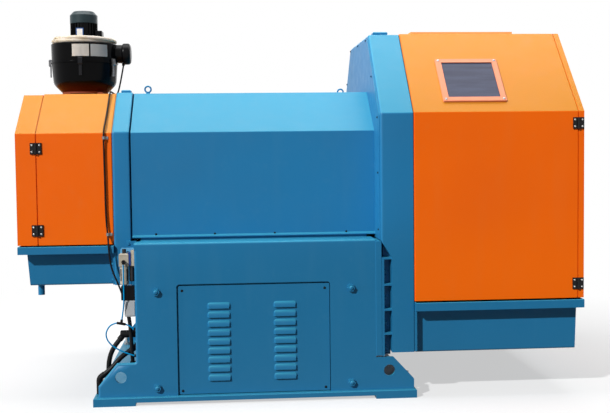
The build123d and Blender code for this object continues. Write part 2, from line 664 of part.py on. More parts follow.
def air_unit():
    """Air preparation unit: two modules with their bowls, a knob, and a bracket round the back."""
    front = block((-753, -700), (AIR_Y - 26, AIR_Y + 26), (770, 841))
    front = chamfer(front.edges().group_by(Axis.Z)[-1], 6)
    divider = block((-700, -688), (AIR_Y - 24, AIR_Y + 24), (774, 845))
    second = block((-688, -671), (AIR_Y - 20, AIR_Y + 20), (772, 858))
    bracket = block((-671, BASE_LEFT), (AIR_Y - 32, AIR_Y + 32), (762, 866))
    back = block((-749, BASE_LEFT), (AIR_Y + 26, AIR_Y + 31), (790, 869))
    bracket += fillet(back.edges().filter_by(Axis.Y).group_by(Axis.X)[0], 14)
    bowls = Part()
    for x, radius, bottom in ((-726, 24, 665), (-684, 15, 684)):
        bowl = rod("Z", (x, AIR_Y, (bottom + 772) / 2), radius, 772 - bottom)
        bowls += fillet(bowl.edges().group_by(Axis.Z)[0], 8)
    knob = rod("Z", (-725, AIR_Y, 852), 11, 26)
    return front + divider + second + bracket + bowls + fillet(knob.edges().group_by(Axis.Z)[-1], 3)


def valve_block():
    """Solenoid valve below the air unit, on the base's left end."""
    body = block((-745, BASE_LEFT), (AIR_Y - 18, AIR_Y + 28), (580, 660))
    return chamfer(body.edges().filter_by(Axis.Y), 3)


def junction_box():
    """Small enclosure below the valve."""
    body = block((-727, BASE_LEFT), (AIR_Y - 18, AIR_Y + 28), (488, 578))
    lid = block((-722, -672), (AIR_Y - 22, AIR_Y - 18), (494, 572))
    return chamfer(body.edges().filter_by(Axis.Y), 3) + lid


def fittings():
    """Elbow on the air unit, tube sockets, cable socket and conduit glands."""
    elbow_x, elbow_y, elbow_z = SUPPLY_ROUTE[0]
    elbow = rod("Y", (elbow_x, elbow_y + 7, elbow_z + 13), 9, 26)
    elbow += rod("Z", (elbow_x, elbow_y, elbow_z + 9), 8, 18)
    parts = Part() + elbow
    for route in (LEFT_TUBE_ROUTE, RIGHT_TUBE_ROUTE):
        x, y, z = route[-1]
        parts += rod("X", ((x + BASE_LEFT) / 2, y, z), 8, BASE_LEFT - x)
    x, y, z = CABLE_ROUTE[-1]
    parts += block((x - 14, BASE_LEFT), (y - 14, y + 14), (z - 30, z))

    x, y, z = UPPER_CONDUIT_ROUTE[0]
    swivel = rod("X", ((SWIVEL_END + BASE_LEFT) / 2, y, z + 6), GLAND_RADIUS + 4, BASE_LEFT - SWIVEL_END)
    parts += fillet(swivel.edges().sort_by(Axis.X)[0], 9)
    parts += run_end(UPPER_CONDUIT_ROUTE) * Pos(0, 0, 17) * Cylinder(GLAND_RADIUS, 34)
    x, y, z = UPPER_CONDUIT_ROUTE[-1]
    parts += rod("Z", (x, y, (z + FLOOR_TOP) / 2), GLAND_RADIUS, z - FLOOR_TOP)

    parts += run_end(LOWER_CONDUIT_ROUTE) * Pos(0, 0, -20) * Cylinder(GLAND_RADIUS, 60)
    last = run_end(LOWER_CONDUIT_ROUTE[::-1])
    corner = last.origin - last.z_dir * ELBOW_REACH
    elbow = [last.origin + last.z_dir * ELBOW_OVERLAP, corner, Vector(corner.X, corner.Y, FLOOR_TOP)]
    parts += tube(elbow, 2 * GLAND_RADIUS)
    return parts - block((BASE_LEFT, 0), (-900, 0), (0, 900))


def tee_fitting():
    """Push-in tee where the supply tube divides."""
    tee = rod("X", (0, 0, 0), 7.5, 48) + rod("Z", (0, 0, 11.5), 7.5, 23)
    return Pos(*TEE) * Rot(0, TEE_TILT, 0) * tee


def cable_clips():
    """Two clips that hold the collector's cable to the cabinet's front."""
    half = LEFT_PROFILE[0]
    clips = Part()
    for x, y, z in ((-838.2, -680.6, 1484), (-826.5, -682.7, 938)):
        clips += block((x - 9, x + 24), (-half - 3, -half), (z - 8, z + 8))
        clips += rod("Z", (x, y, z), 9, 16) + block((x - 9, x + 9), (y, -half), (z - 8, z + 8))
    return clips


def run_end(route):
    """The plane at a route's first point, facing along its first run."""
    first, second = (Vector(*point) for point in route[:2])
    return Plane(origin=first, z_dir=second - first)


def bends(points):
    """The largest radii that fit between the points of a route."""
    radii = []
    for before, here, after in zip(points, points[1:], points[2:]):
        shorter = min((here - before).length, (after - here).length)
        turn = (here - before).get_angle(after - here)
        radii.append(0.45 * shorter / tan(radians(turn / 2)))
    return radii


def tube(route, diameter):
    """A round bar along straight runs joined by arcs."""
    points = [Vector(*point) for point in route]
    path = FilletPolyline(*points, radius=bends(points))
    return sweep(run_end(route) * Circle(diameter / 2), path=path)


def cord(name, route, diameter):
    """A cord, with its length, its volume against that length, and its bends printed."""
    points = [Vector(*point) for point in route]
    radii = bends(points)
    length = FilletPolyline(*points, radius=radii).length
    solid = tube(route, diameter)
    print(name, "length", round(length), "volume ratio", round(solid.volume / (length * pi * diameter ** 2 / 4), 4),
          "smallest radius in diameters", round(min(radii) / diameter, 1),
          "radii", [round(radius) for radius in radii])
    return solid


def write(node, shape):
    """Write one sub-part."""
    export_step(shape, f"parts/{node}.step")


os.makedirs("parts", exist_ok=True)

front_plate = base_side_plate()
front_bolts = tie_bolts()
front_vent = vent_panel()
write("floor_plate", floor_plate())
write("levelling_bolts", levelling_bolts())
write("base_front_plate", front_plate)
write("base_rear_plate", rear(front_plate))
write("base_top_plate", base_top_plate())
write("base_left_end", block((BASE_LEFT, BASE_LEFT + PLATE), (-BASE_HALF + PLATE, BASE_HALF - PLATE),
                             (FLOOR_TOP, BASE_TOP - TABLE)))
write("base_right_end", base_right_end())
write("tie_bolts_front", front_bolts)
write("tie_bolts_rear", rear(front_bolts))
write("vent_panel_front", front_vent)
write("vent_panel_rear", rear(front_vent))

write("hood_cover", hood_cover())
write("lifting_eye_left", lifting_eye(-613, -300))
write("lifting_eye_right", lifting_eye(596, 100))
write("left_frame", left_frame())
write("left_joint", left_joint())
write("right_frame", right_frame())
write("right_frame_side_plate", right_frame_side_plate())
write("right_joint", right_joint())
write("main_shaft", main_shaft())

left_seam_x = (LEFT_SEAM - SEAM_GAP / 2, LEFT_SEAM + SEAM_GAP / 2)
left_rim_x = (LEFT_END + 4, LEFT_FRAME)
write("left_cabinet", cabinet(LEFT_PROFILE, LEFT_FRAME, left_seam_x[1], LEFT_DOOR_PROFILE))
write("left_end_door", end_door(LEFT_DOOR_PROFILE, left_seam_x[0], LEFT_END))
write("left_hinge_fixed_leaves", hinge_leaves(LEFT_SEAM, LEFT_HINGE_HEIGHTS, LEFT_PROFILE[0], -1, False))
write("left_hinge_moving_leaves", hinge_leaves(LEFT_SEAM, LEFT_HINGE_HEIGHTS, LEFT_PROFILE[0], -1, True))
write("left_tray_rim", tray_rim(LEFT_PROFILE[0] + RIM_PROUD, left_rim_x, LEFT_RIM, LEFT_SUMP))
write("left_sump", sump(LEFT_SUMP, LEFT_RIM[0], (14, 0)))
write("left_sump_flange", sump_flange((LEFT_SUMP[1], LEFT_FRAME), 664, (650, LEFT_RIM[0]),
                                      (764, 718, 673), -1))
write("left_drain_pipe", rod("Z", (-1241, -470, 611.5), 19, 73))

right_seam_x = (RIGHT_SEAM - SEAM_GAP / 2, RIGHT_SEAM + SEAM_GAP / 2)
right_rim_x = (RIGHT_CABINET, RIGHT_END - 6)
right_shell = cabinet(RIGHT_PROFILE, RIGHT_CABINET, right_seam_x[0], RIGHT_PROFILE)
write("right_cabinet", right_shell - extrude(window_face(WINDOW[4]), 30, both=True))
write("right_cabinet_lid", block((967, 1590), (-395, 395), (RIGHT_PROFILE[4], RIGHT_PROFILE[4] + 14)))
write("window_frame", window_frame())
write("window_pane", extrude(window_face(WINDOW[4]), 6))
write("right_end_door", end_door(RIGHT_PROFILE, right_seam_x[1], RIGHT_END))
write("right_hinge_fixed_leaves", hinge_leaves(RIGHT_SEAM, RIGHT_HINGE_HEIGHTS, RIGHT_PROFILE[0], 1, False))
write("right_hinge_moving_leaves", hinge_leaves(RIGHT_SEAM, RIGHT_HINGE_HEIGHTS, RIGHT_PROFILE[0], 1, True))
write("right_tray_rim", tray_rim(RIGHT_PROFILE[0] + RIM_PROUD, right_rim_x, RIGHT_RIM, RIGHT_SUMP))
write("right_sump", sump(RIGHT_SUMP, RIGHT_RIM[0], (0, 8)))
write("right_sump_flange", sump_flange((RIGHT_CABINET, RIGHT_CABINET + 14), 870, (262, RIGHT_RIM[0]),
                                       (469, 410, 352, 293), 1))

cable = cord("collector_cable", CABLE_ROUTE, CABLE_DIAMETER)
sleeve = tube(SLEEVE_ROUTE, SLEEVE_DIAMETER) - cable
supply_tube = cord("air_tube_supply", SUPPLY_ROUTE, TUBE_DIAMETER)
left_tube = cord("air_tube_left", LEFT_TUBE_ROUTE, TUBE_DIAMETER)
right_tube = cord("air_tube_right", RIGHT_TUBE_ROUTE, TUBE_DIAMETER)
upper_conduit = cord("conduit_upper", UPPER_CONDUIT_ROUTE, CONDUIT_DIAMETER)
lower_conduit = cord("conduit_lower", LOWER_CONDUIT_ROUTE, CONDUIT_DIAMETER)
write("collector_cable", cable)
write("cable_sleeve", sleeve)
write("air_tube_supply", supply_tube)
write("air_tube_left", left_tube)
write("air_tube_right", right_tube)
write("conduit_upper", upper_conduit)
write("conduit_lower", lower_conduit)

write("collector_feet", collector_feet())
write("collector_drum", collector_drum())
write("collector_latches", collector_latches())
write("collector_motor", collector_motor())
write("collector_cowl", collector_cowl())
write("collector_terminal_box", collector_terminal_box())
write("collector_outlet", collector_outlet() - cable)
write("hose_coil", hose_coil())
write("cable_clips", cable_clips() - cable)

write("air_unit", air_unit())
write("valve_block", valve_block())
write("junction_box", junction_box())
write("tee_fitting", tee_fitting() - supply_tube - left_tube - right_tube)
cords = [cable, sleeve, supply_tube, left_tube, right_tube, upper_conduit, lower_conduit]
write("fittings", fittings() - cords)
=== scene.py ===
import json
from math import atan2, cos, pi, radians, sin, sqrt

import bmesh
import bpy
from mathutils import Matrix, Vector


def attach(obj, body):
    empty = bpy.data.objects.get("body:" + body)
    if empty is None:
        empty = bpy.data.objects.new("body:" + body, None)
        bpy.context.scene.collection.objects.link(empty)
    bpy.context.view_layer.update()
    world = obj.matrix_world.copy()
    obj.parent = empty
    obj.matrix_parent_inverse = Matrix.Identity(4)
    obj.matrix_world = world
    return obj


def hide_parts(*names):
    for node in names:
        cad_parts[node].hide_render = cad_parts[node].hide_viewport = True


bl_info = {
    "name": "Interlock armoring machine",
    "version": (1, 0, 0),
    "blender": (4, 5, 0),
    "location": "View3D > Sidebar > Armoring",
    "description": "Dresses the packed machine: enamel, cords, screws, hose, air controls and a studio",
    "category": "Object",
}

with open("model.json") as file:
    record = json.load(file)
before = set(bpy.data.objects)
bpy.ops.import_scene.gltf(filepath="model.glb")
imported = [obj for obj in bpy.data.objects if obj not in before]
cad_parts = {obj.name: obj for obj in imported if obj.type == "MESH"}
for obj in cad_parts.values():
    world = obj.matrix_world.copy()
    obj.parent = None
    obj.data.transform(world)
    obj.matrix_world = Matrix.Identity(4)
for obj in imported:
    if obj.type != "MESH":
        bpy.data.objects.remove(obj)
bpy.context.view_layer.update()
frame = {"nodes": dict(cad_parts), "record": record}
MM = 0.001

# Routes of the cords in millimetres, the same points that the solids follow
CABLE_ROUTE = [
    (-785, 0, 1946), (-795, -1, 1893), (-806, -2, 1840), (-816, -5, 1795), (-823, -38, 1765),
    (-828, -100, 1760), (-829.5, -190, 1762), (-829, -280, 1761), (-830, -367, 1767),
    (-832, -454, 1691), (-833, -533, 1630), (-836, -604, 1575), (-838, -683, 1521),
    (-838.5, -678, 1430), (-837.5, -677, 1315), (-836, -678, 1200), (-836, -677, 1085),
    (-832, -679, 990), (-826, -683, 932), (-823, -697, 898), (-820, -709, 858), (-815, -712, 805),
    (-807, -715, 755), (-790, -720, 706), (-765, -729, 652), (-741, -735, 585), (-717, -739, 505),
    (-706, -742, 430), (-701, -745, 350), (-698, -747, 280), (-695, -748, 222)]
SUPPLY_ROUTE = [
    (-727, -846, 785), (-727.5, -846, 695), (-726.5, -843, 605), (-731, -834, 545),
    (-738, -824, 504), (-743.2, -818, 473.1)]
LEFT_TUBE_ROUTE = [
    (-771, -818, 455), (-797, -817, 449), (-819, -816, 430), (-833, -815, 401),
    (-831, -814, 371), (-816, -813, 343), (-793, -812, 321), (-758, -811, 299),
    (-718, -811, 281), (-679, -810, 267)]
RIGHT_TUBE_ROUTE = [(-724, -818, 446), (-708, -817, 440), (-692, -816, 430), (-679, -815, 418)]
UPPER_CONDUIT_ROUTE = [
    (-748, -700, 366), (-772, -700, 338), (-798, -700, 305), (-819, -700, 268),
    (-832, -700, 222), (-836, -700, 172), (-833, -700, 122), (-828, -700, 80)]
LOWER_CONDUIT_ROUTE = [
    (-700, -712, 286), (-735, -722, 264), (-768, -734, 238), (-797, -745, 205),
    (-828, -752, 174), (-868, -757, 145)]

# Small fasteners that the photograph shows, in millimetres
HOOD_FACE = 667
HOOD_SCREWS = [(-556, 933), (-222, 931), (121, 930), (535, 931)]
SIDE_PLATE_FACE = 702
SIDE_PLATE_SCREWS = [(-338, 2061), (7, 2064), (382, 2067), (-568, 1828), (593, 1858),
                     (-789, 1583), (-806, 1271), (-804, 950), (789, 1583), (806, 1271), (804, 950)]
PANEL_FACE = 846
VENT_SCREWS = [(-408, 630), (388, 630), (-411, 68), (390, 68)]
TIE_BOLT_FACE = 874
TIE_BOLTS = [(-551, 628), (-551, 91), (536, 628), (536, 91)]
BOLT_END_RADIUS = 13
BOLT_END_HEIGHT = 7
COVER_SCREW_HEIGHT = 5
VENT_SCREW_HEIGHT = 4

# Hinges: seam in X, front face in Y, heights of the two, door, and the side of the leaf that stays
HINGES = [(-1218, -675, (1428, 965), "left_door", 1), (1834, -886, (1539, 630), "right_door", -1)]
HINGE_SCREW_ACROSS = 21
HINGE_SCREW_UP = 19
HINGE_SCREW_HEIGHT = 2.5

# Window on the sloping shoulder: the crest it is measured from, the shoulder's run and rise, the
# window's middle up the slope, and how far its screws are from that middle and off the sheet
WINDOW_CREST = (1256, -878, 1606)
SHOULDER_RUN = 461
SHOULDER_RISE = 486
WINDOW_UP_SLOPE = 255
WINDOW_SCREW_ACROSS = 166
WINDOW_SCREW_UP = 161
WINDOW_FRAME_FACE = 12
WINDOW_SCREW_RADIUS = 8.5
WINDOW_SCREW_HEIGHT = 5

# Mist collector: its axis, the hose wound on its lid, and its bare plates, in millimetres
COLLECTOR_X = -1024
HOSE_RADIUS = 177
HOSE_HEIGHT = 2094
STRAND_OFFSET = 10.5
STRAND_RADIUS = 12.5
LOBES_TURNED = 2
HOSE_TIE_TURN = 212
HOSE_TIE_RADIUS = 21.5
HOSE_TIE_STRAND = 4.5
HOSE_TIE_LEAN = 0.45
DRUM_PLATE_RADIUS = 203.6
DRUM_PLATES = [
    ("drum_plate_left", -1073, -971, "plate_cream"),
    ("drum_plate_right", -962, -869, "plate_grey"),
]
DRUM_PLATE_HEIGHTS = (1989, 2061)
DRUM_PLATE_SHEET = 1.2
MOTOR_PLATE = ((-1062, -1017), -85.5, (2118, 2172))
MOTOR_PLATE_SHEET = 2
MOTOR_PLATE_BORDER = 8

# Heights of the drum's lower taper, where a reflection of the roof is painted in, and the limit in Y that
# tells the front latch, in metres
DRUM_TAPER = (1.778, 1.835)
FRONT_LATCH_LIMIT = -0.19

# Parts of the air unit, told apart by tests on where they lie, in metres:
# colour, then (axis, test, limit, half width)
AIR_UNIT_PARTS = [
    ("#1C1D20", (("Z", "LESS_THAN", 0.772, 0), ("X", "COMPARE", -0.684, 0.0156))),
    # The two narrow dark bands are painted shade: the slots of the bowl guard, drawn on the solid bowl
    ("#202024", (("Z", "COMPARE", 0.722, 0.034), ("X", "COMPARE", -0.743, 0.0035))),
    ("#202024", (("Z", "COMPARE", 0.722, 0.034), ("X", "COMPARE", -0.709, 0.0035))),
    ("#17397F", (("Z", "GREATER_THAN", 0.7732, 0), ("X", "COMPARE", -0.694, 0.0063),
                 ("Y", "LESS_THAN", -0.775, 0))),
    ("#111114", (("Z", "GREATER_THAN", 0.8411, 0), ("X", "COMPARE", -0.725, 0.0125),
                 ("Y", "LESS_THAN", -0.775, 0))),
    ("#5FA6CF", (("Y", "GREATER_THAN", -0.7745, 0), ("Z", "GREATER_THAN", 0.789, 0))),
]

# Nodes that have a finish of their own in place of their slot's
OWN_FINISH = {
    "collector_latches": "latch_steel",
    "cable_clips": "clip_steel",
    "collector_drum": "drum_enamel",
    # The lid's own finish is pale orange as painted sunlight
    "right_cabinet_lid": "painted_sunlit_lid",
}

# Studio: where each softbox stands, what it aims at, its width and height, and its watts
SOFTBOXES = [
    ("overhead softbox", (0.2, 0.0, 5.6), (0.2, 0.1, 1.0), (7.0, 2.4), 260),
    ("left softbox", (-6.5, -1.6, 1.3), (0.7, -0.5, 1.3), (2.0, 2.0), 110),
    ("rear softbox", (1.5, 6.5, 4.5), (0.2, 0.0, 1.0), (4.0, 3.0), 110),
]
# Sun: the way its light travels, its strength, and its width in degrees
SUN_TRAVELS = (0.585, 0.616, -0.53)
SUN_STRENGTH = 3.4
SUN_WIDTH = 1.5
# Floor: its radius, where it fades into the backdrop, and its share of backdrop near the machine
FLOOR_RADIUS = 24
FLOOR_FADES = (2.0, 4.5)
FLOOR_GLOW = 0.55

# Camera, fitted to the photograph: place in metres, lens in millimetres, turns in degrees
CAMERA_PLACE = (-0.15904, -6.4385, 1.3962)
CAMERA_LENS = 59.43
CAMERA_TURNS = (4.5168, -3.1389, 0.6432)


def linear(colour):
    """Turns an sRGB hex colour to the linear values that shaders take."""
    channels = [int(colour[place:place + 2], 16) / 255 for place in (1, 3, 5)]
    return tuple(c / 12.92 if c <= 0.04045 else ((c + 0.055) / 1.055) ** 2.4 for c in channels) + (1.0,)


def add_node(tree, kind, inputs=None, **settings):
    """Adds a node with its settings; an input is a value or another node's output."""
    made = tree.nodes.new(kind)
    for name, value in settings.items():
        setattr(made, name, value)
    for name, value in (inputs or {}).items():
        if isinstance(value, bpy.types.NodeSocket):
            tree.links.new(value, made.inputs[name])
        else:
            made.inputs[name].default_value = value
    return made


def new_material(name):
    """Starts a material and returns it with its tree, its main shader and the place on the object."""
    made = bpy.data.materials.new(name)
    made.use_nodes = True
    tree = made.node_tree
    place = add_node(tree, "ShaderNodeTexCoord").outputs["Object"]
    return made, tree, tree.nodes["Principled BSDF"], place


def set_ramp(ramp, low, dark, high, light):
    """Sets a colour ramp's two ends."""
    for element, position, colour in zip(ramp.color_ramp.elements, (low, high), (dark, light)):
        element.position = position
        element.color = linear(colour)


def sprayed_enamel(name, fresh, faded, painted_sky_light, low_shade_tone, dusty, roughness, specular):
    """Alkyd machine enamel sprayed on sheet steel. It gives the eye a soft gloss, a slow drift of
    tone over each metre, a paler film where it faces up as painted light from the sky, a second tone
    below about 0.9 m that darkens the blue as painted shade, faint dust streaks that thicken low
    down, and the dimples of a sprayed film."""
    made, tree, shader, place = new_material(name)
    # The film's tone drifts over about 0.7 m, as overlapping spray passes leave it
    drift = add_node(tree, "ShaderNodeTexNoise", {"Vector": place, "Scale": 1.4, "Detail": 3.0})
    tone = add_node(tree, "ShaderNodeValToRGB", {"Fac": drift.outputs["Fac"]})
    set_ramp(tone, 0.35, fresh, 0.68, faded)
    # Painted shade: below about 0.9 m the film turns toward a second tone, darker on the blue, for the lower
    # parts that get less light
    height = add_node(tree, "ShaderNodeSeparateXYZ", {"Vector": place})
    below = add_node(tree, "ShaderNodeMapRange", {"Value": height.outputs["Z"], "From Min": 0.7,
                                                  "From Max": 1.15, "To Min": 0.85, "To Max": 0.0},
                     interpolation_type="SMOOTHSTEP")
    coat = add_node(tree, "ShaderNodeMix", {"Factor": below.outputs["Result"], "A": tone.outputs["Color"],
                                            "B": linear(low_shade_tone)}, data_type="RGBA")
    # Painted light: faces that turn upward are mixed toward a paler colour, which stands in for the sky's
    # light and sheen on them
    normal = add_node(tree, "ShaderNodeTexCoord").outputs["Normal"]
    skyward = add_node(tree, "ShaderNodeSeparateXYZ", {"Vector": normal})
    painted_light_share = add_node(tree, "ShaderNodeMapRange", {"Value": skyward.outputs["Z"], "From Min": 0.3,
                                                   "From Max": 0.6})
    pale = add_node(tree, "ShaderNodeMix", {"Factor": painted_light_share.outputs["Result"], "A": coat.outputs["Result"],
                                            "B": linear(painted_sky_light)}, data_type="RGBA")
    # Rain and wiping leave upright streaks, about 80 mm wide and half a metre long
    stretched = add_node(tree, "ShaderNodeMapping", {"Vector": place, "Scale": (1.0, 1.0, 0.15)})
    streak = add_node(tree, "ShaderNodeTexNoise", {"Vector": stretched.outputs["Vector"], "Scale": 12.0,
                                                   "Detail": 4.0})
    streaks = add_node(tree, "ShaderNodeMapRange", {"Value": streak.outputs["Fac"], "From Min": 0.5,
                                                    "From Max": 0.8, "To Min": 0.0, "To Max": 0.09})
    # Handling marks about 60 mm across, faint
    smudge = add_node(tree, "ShaderNodeTexNoise", {"Vector": place, "Scale": 16.0, "Detail": 6.0,
                                                   "Roughness": 0.65})
    marks = add_node(tree, "ShaderNodeMapRange", {"Value": smudge.outputs["Fac"], "From Min": 0.56,
                                                  "From Max": 0.8, "To Min": 0.0, "To Max": 0.12})
    # Dust thickens over the lowest half metre
    low = add_node(tree, "ShaderNodeMapRange", {"Value": height.outputs["Z"], "From Min": 0.02,
                                                "From Max": 0.5, "To Min": 0.18, "To Max": 0.0})
    settled = add_node(tree, "ShaderNodeMath", {0: low.outputs["Result"], 1: smudge.outputs["Fac"]},
                       operation="MULTIPLY")
    worn = add_node(tree, "ShaderNodeMath", {0: settled.outputs["Value"], 1: marks.outputs["Result"]},
                    operation="MAXIMUM")
    amount = add_node(tree, "ShaderNodeMath", {0: worn.outputs["Value"], 1: streaks.outputs["Result"]},
                      operation="MAXIMUM")
    film = add_node(tree, "ShaderNodeMix", {"Factor": amount.outputs["Value"], "A": pale.outputs["Result"],
                                            "B": linear(dusty)}, data_type="RGBA")
    tree.links.new(film.outputs["Result"], shader.inputs["Base Color"])
    gloss = add_node(tree, "ShaderNodeMapRange", {"Value": smudge.outputs["Fac"], "From Min": 0.3,
                                                  "From Max": 0.75, "To Min": roughness - 0.05,
                                                  "To Max": roughness + 0.1})
    tree.links.new(gloss.outputs["Result"], shader.inputs["Roughness"])
    # Orange peel is really 2 mm across; it is drawn at 6 mm so that it can show at all
    peel = add_node(tree, "ShaderNodeTexNoise", {"Vector": place, "Scale": 165.0, "Detail": 2.0})
    # Long, shallow waves of hand-finished sheet, about 350 mm across
    waves = add_node(tree, "ShaderNodeTexNoise", {"Vector": place, "Scale": 2.8, "Detail": 1.0})
    ripple = add_node(tree, "ShaderNodeBump", {"Height": waves.outputs["Fac"], "Strength": 0.12,
                                               "Distance": 0.02})
    film_bump = add_node(tree, "ShaderNodeBump", {"Height": peel.outputs["Fac"], "Strength": 0.10,
                                                  "Distance": 0.001, "Normal": ripple.outputs["Normal"]})
    tree.links.new(film_bump.outputs["Normal"], shader.inputs["Normal"])
    shader.inputs["Specular IOR Level"].default_value = specular
    return made


def grained(name, dark, light, roughness, metallic, grain, depth, specular=0.5):
    """Cast, plated or moulded stuff with a fine grain, whose size is given in millimetres."""
    made, tree, shader, place = new_material(name)
    cloud = add_node(tree, "ShaderNodeTexNoise", {"Vector": place, "Scale": 9.0, "Detail": 4.0})
    tone = add_node(tree, "ShaderNodeValToRGB", {"Fac": cloud.outputs["Fac"]})
    set_ramp(tone, 0.3, dark, 0.7, light)
    tree.links.new(tone.outputs["Color"], shader.inputs["Base Color"])
    fine = add_node(tree, "ShaderNodeTexNoise", {"Vector": place, "Scale": 1000.0 / grain, "Detail": 3.0})
    bump = add_node(tree, "ShaderNodeBump", {"Height": fine.outputs["Fac"], "Strength": depth,
                                             "Distance": 0.001})
    tree.links.new(bump.outputs["Normal"], shader.inputs["Normal"])
    rough = add_node(tree, "ShaderNodeMapRange", {"Value": cloud.outputs["Fac"], "To Min": roughness - 0.06,
                                                  "To Max": roughness + 0.08})
    tree.links.new(rough.outputs["Result"], shader.inputs["Roughness"])
    shader.inputs["Metallic"].default_value = metallic
    if not metallic:
        shader.inputs["Specular IOR Level"].default_value = specular
    return made


def turned_steel():
    """Mild steel turned on a lathe: fine rings about the main shaft, which catch the light as streaks."""
    made, tree, shader, place = new_material("turned mild steel")
    rings = add_node(tree, "ShaderNodeTexWave", {"Vector": place, "Scale": 60.0, "Distortion": 0.4,
                                                 "Detail": 2.0}, wave_type="BANDS", bands_direction="X")
    bump = add_node(tree, "ShaderNodeBump", {"Height": rings.outputs["Fac"], "Strength": 0.2,
                                             "Distance": 0.0005})
    tree.links.new(bump.outputs["Normal"], shader.inputs["Normal"])
    shader.inputs["Base Color"].default_value = linear("#A9A8A4")
    shader.inputs["Metallic"].default_value = 1.0
    shader.inputs["Roughness"].default_value = 0.38
    return made


def drum_enamel():
    """Black stove enamel on the drum: deep, with a baked film's sharp gloss. The drum's lower taper
    carries a painted reflection of the orange roof that it stands over."""
    made, tree, shader, place = new_material("black stove enamel on the drum")
    height = add_node(tree, "ShaderNodeSeparateXYZ", {"Vector": place})
    cloud = add_node(tree, "ShaderNodeTexNoise", {"Vector": place, "Scale": 6.0, "Detail": 3.0})
    tone = add_node(tree, "ShaderNodeValToRGB", {"Fac": cloud.outputs["Fac"]})
    set_ramp(tone, 0.3, "#020203", 0.7, "#050506")
    # Painted reflection: the lower taper is mixed toward a dull orange, for the roof's orange seen in it
    painted_roof_reflection = add_node(tree, "ShaderNodeMapRange", {"Value": height.outputs["Z"],
                                                      "From Min": DRUM_TAPER[0], "From Max": DRUM_TAPER[1],
                                                      "To Min": 0.35, "To Max": 0.0})
    film = add_node(tree, "ShaderNodeMix", {"Factor": painted_roof_reflection.outputs["Result"], "A": tone.outputs["Color"],
                                            "B": linear("#7A2A08")}, data_type="RGBA")
    tree.links.new(film.outputs["Result"], shader.inputs["Base Color"])
    peel = add_node(tree, "ShaderNodeTexNoise", {"Vector": place, "Scale": 90.0, "Detail": 2.0})
    bump = add_node(tree, "ShaderNodeBump", {"Height": peel.outputs["Fac"], "Strength": 0.06,
                                             "Distance": 0.001})
    tree.links.new(bump.outputs["Normal"], shader.inputs["Normal"])
    shader.inputs["Roughness"].default_value = 0.22
    shader.inputs["Specular IOR Level"].default_value = 0.07
    return made


def latch_steel():
    """Toggle latches of zinc-plated steel gone grey; the one at the front is drawn dark and not metallic."""
    made, tree, shader, place = new_material("zinc-plated latch steel")
    axes = add_node(tree, "ShaderNodeSeparateXYZ", {"Vector": place})
    front = add_node(tree, "ShaderNodeMath", {0: axes.outputs["Y"], 1: FRONT_LATCH_LIMIT},
                     operation="LESS_THAN")
    cloud = add_node(tree, "ShaderNodeTexNoise", {"Vector": place, "Scale": 60.0, "Detail": 3.0})
    tone = add_node(tree, "ShaderNodeValToRGB", {"Fac": cloud.outputs["Fac"]})
    set_ramp(tone, 0.3, "#4E4F52", 0.7, "#87888A")
    film = add_node(tree, "ShaderNodeMix", {"Factor": front.outputs["Value"], "A": tone.outputs["Color"],
                                            "B": linear("#16171B")}, data_type="RGBA")
    tree.links.new(film.outputs["Result"], shader.inputs["Base Color"])
    plated = add_node(tree, "ShaderNodeMath", {0: 1.0, 1: front.outputs["Value"]}, operation="SUBTRACT")
    tree.links.new(plated.outputs["Value"], shader.inputs["Metallic"])
    shader.inputs["Roughness"].default_value = 0.3
    shader.inputs["Specular IOR Level"].default_value = 0.15
    return made


def smoked_acrylic_with_painted_inside():
    """Smoked acrylic sheet, drawn opaque: slate grey for the sheet's tint together with painted shade of the
    dark inside behind it, with faint wipe marks and dust specks.
    """
    made, tree, shader, place = new_material("smoked acrylic sheet with painted dark inside")
    # Wipe marks run along the sheet: about 440 mm long and 37 mm wide
    wiped = add_node(tree, "ShaderNodeMapping", {"Vector": place, "Scale": (0.25, 3.0, 3.0)})
    haze = add_node(tree, "ShaderNodeTexNoise", {"Vector": wiped.outputs["Vector"], "Scale": 9.0,
                                                 "Detail": 5.0})
    # Painted shade: these slate greys stand for the tinted sheet with the dark inside seen through it
    tone = add_node(tree, "ShaderNodeValToRGB", {"Fac": haze.outputs["Fac"]})
    set_ramp(tone, 0.3, "#2C2E42", 0.78, "#454B60")
    specks = add_node(tree, "ShaderNodeTexNoise", {"Vector": place, "Scale": 220.0, "Detail": 1.0})
    dust = add_node(tree, "ShaderNodeMapRange", {"Value": specks.outputs["Fac"], "From Min": 0.62,
                                                 "From Max": 0.8, "To Min": 0.0, "To Max": 0.25})
    sheet = add_node(tree, "ShaderNodeMix", {"Factor": dust.outputs["Result"], "A": tone.outputs["Color"],
                                             "B": linear("#6F7288")}, data_type="RGBA")
    tree.links.new(sheet.outputs["Result"], shader.inputs["Base Color"])
    shader.inputs["Roughness"].default_value = 0.3
    shader.inputs["Specular IOR Level"].default_value = 0.12
    return made


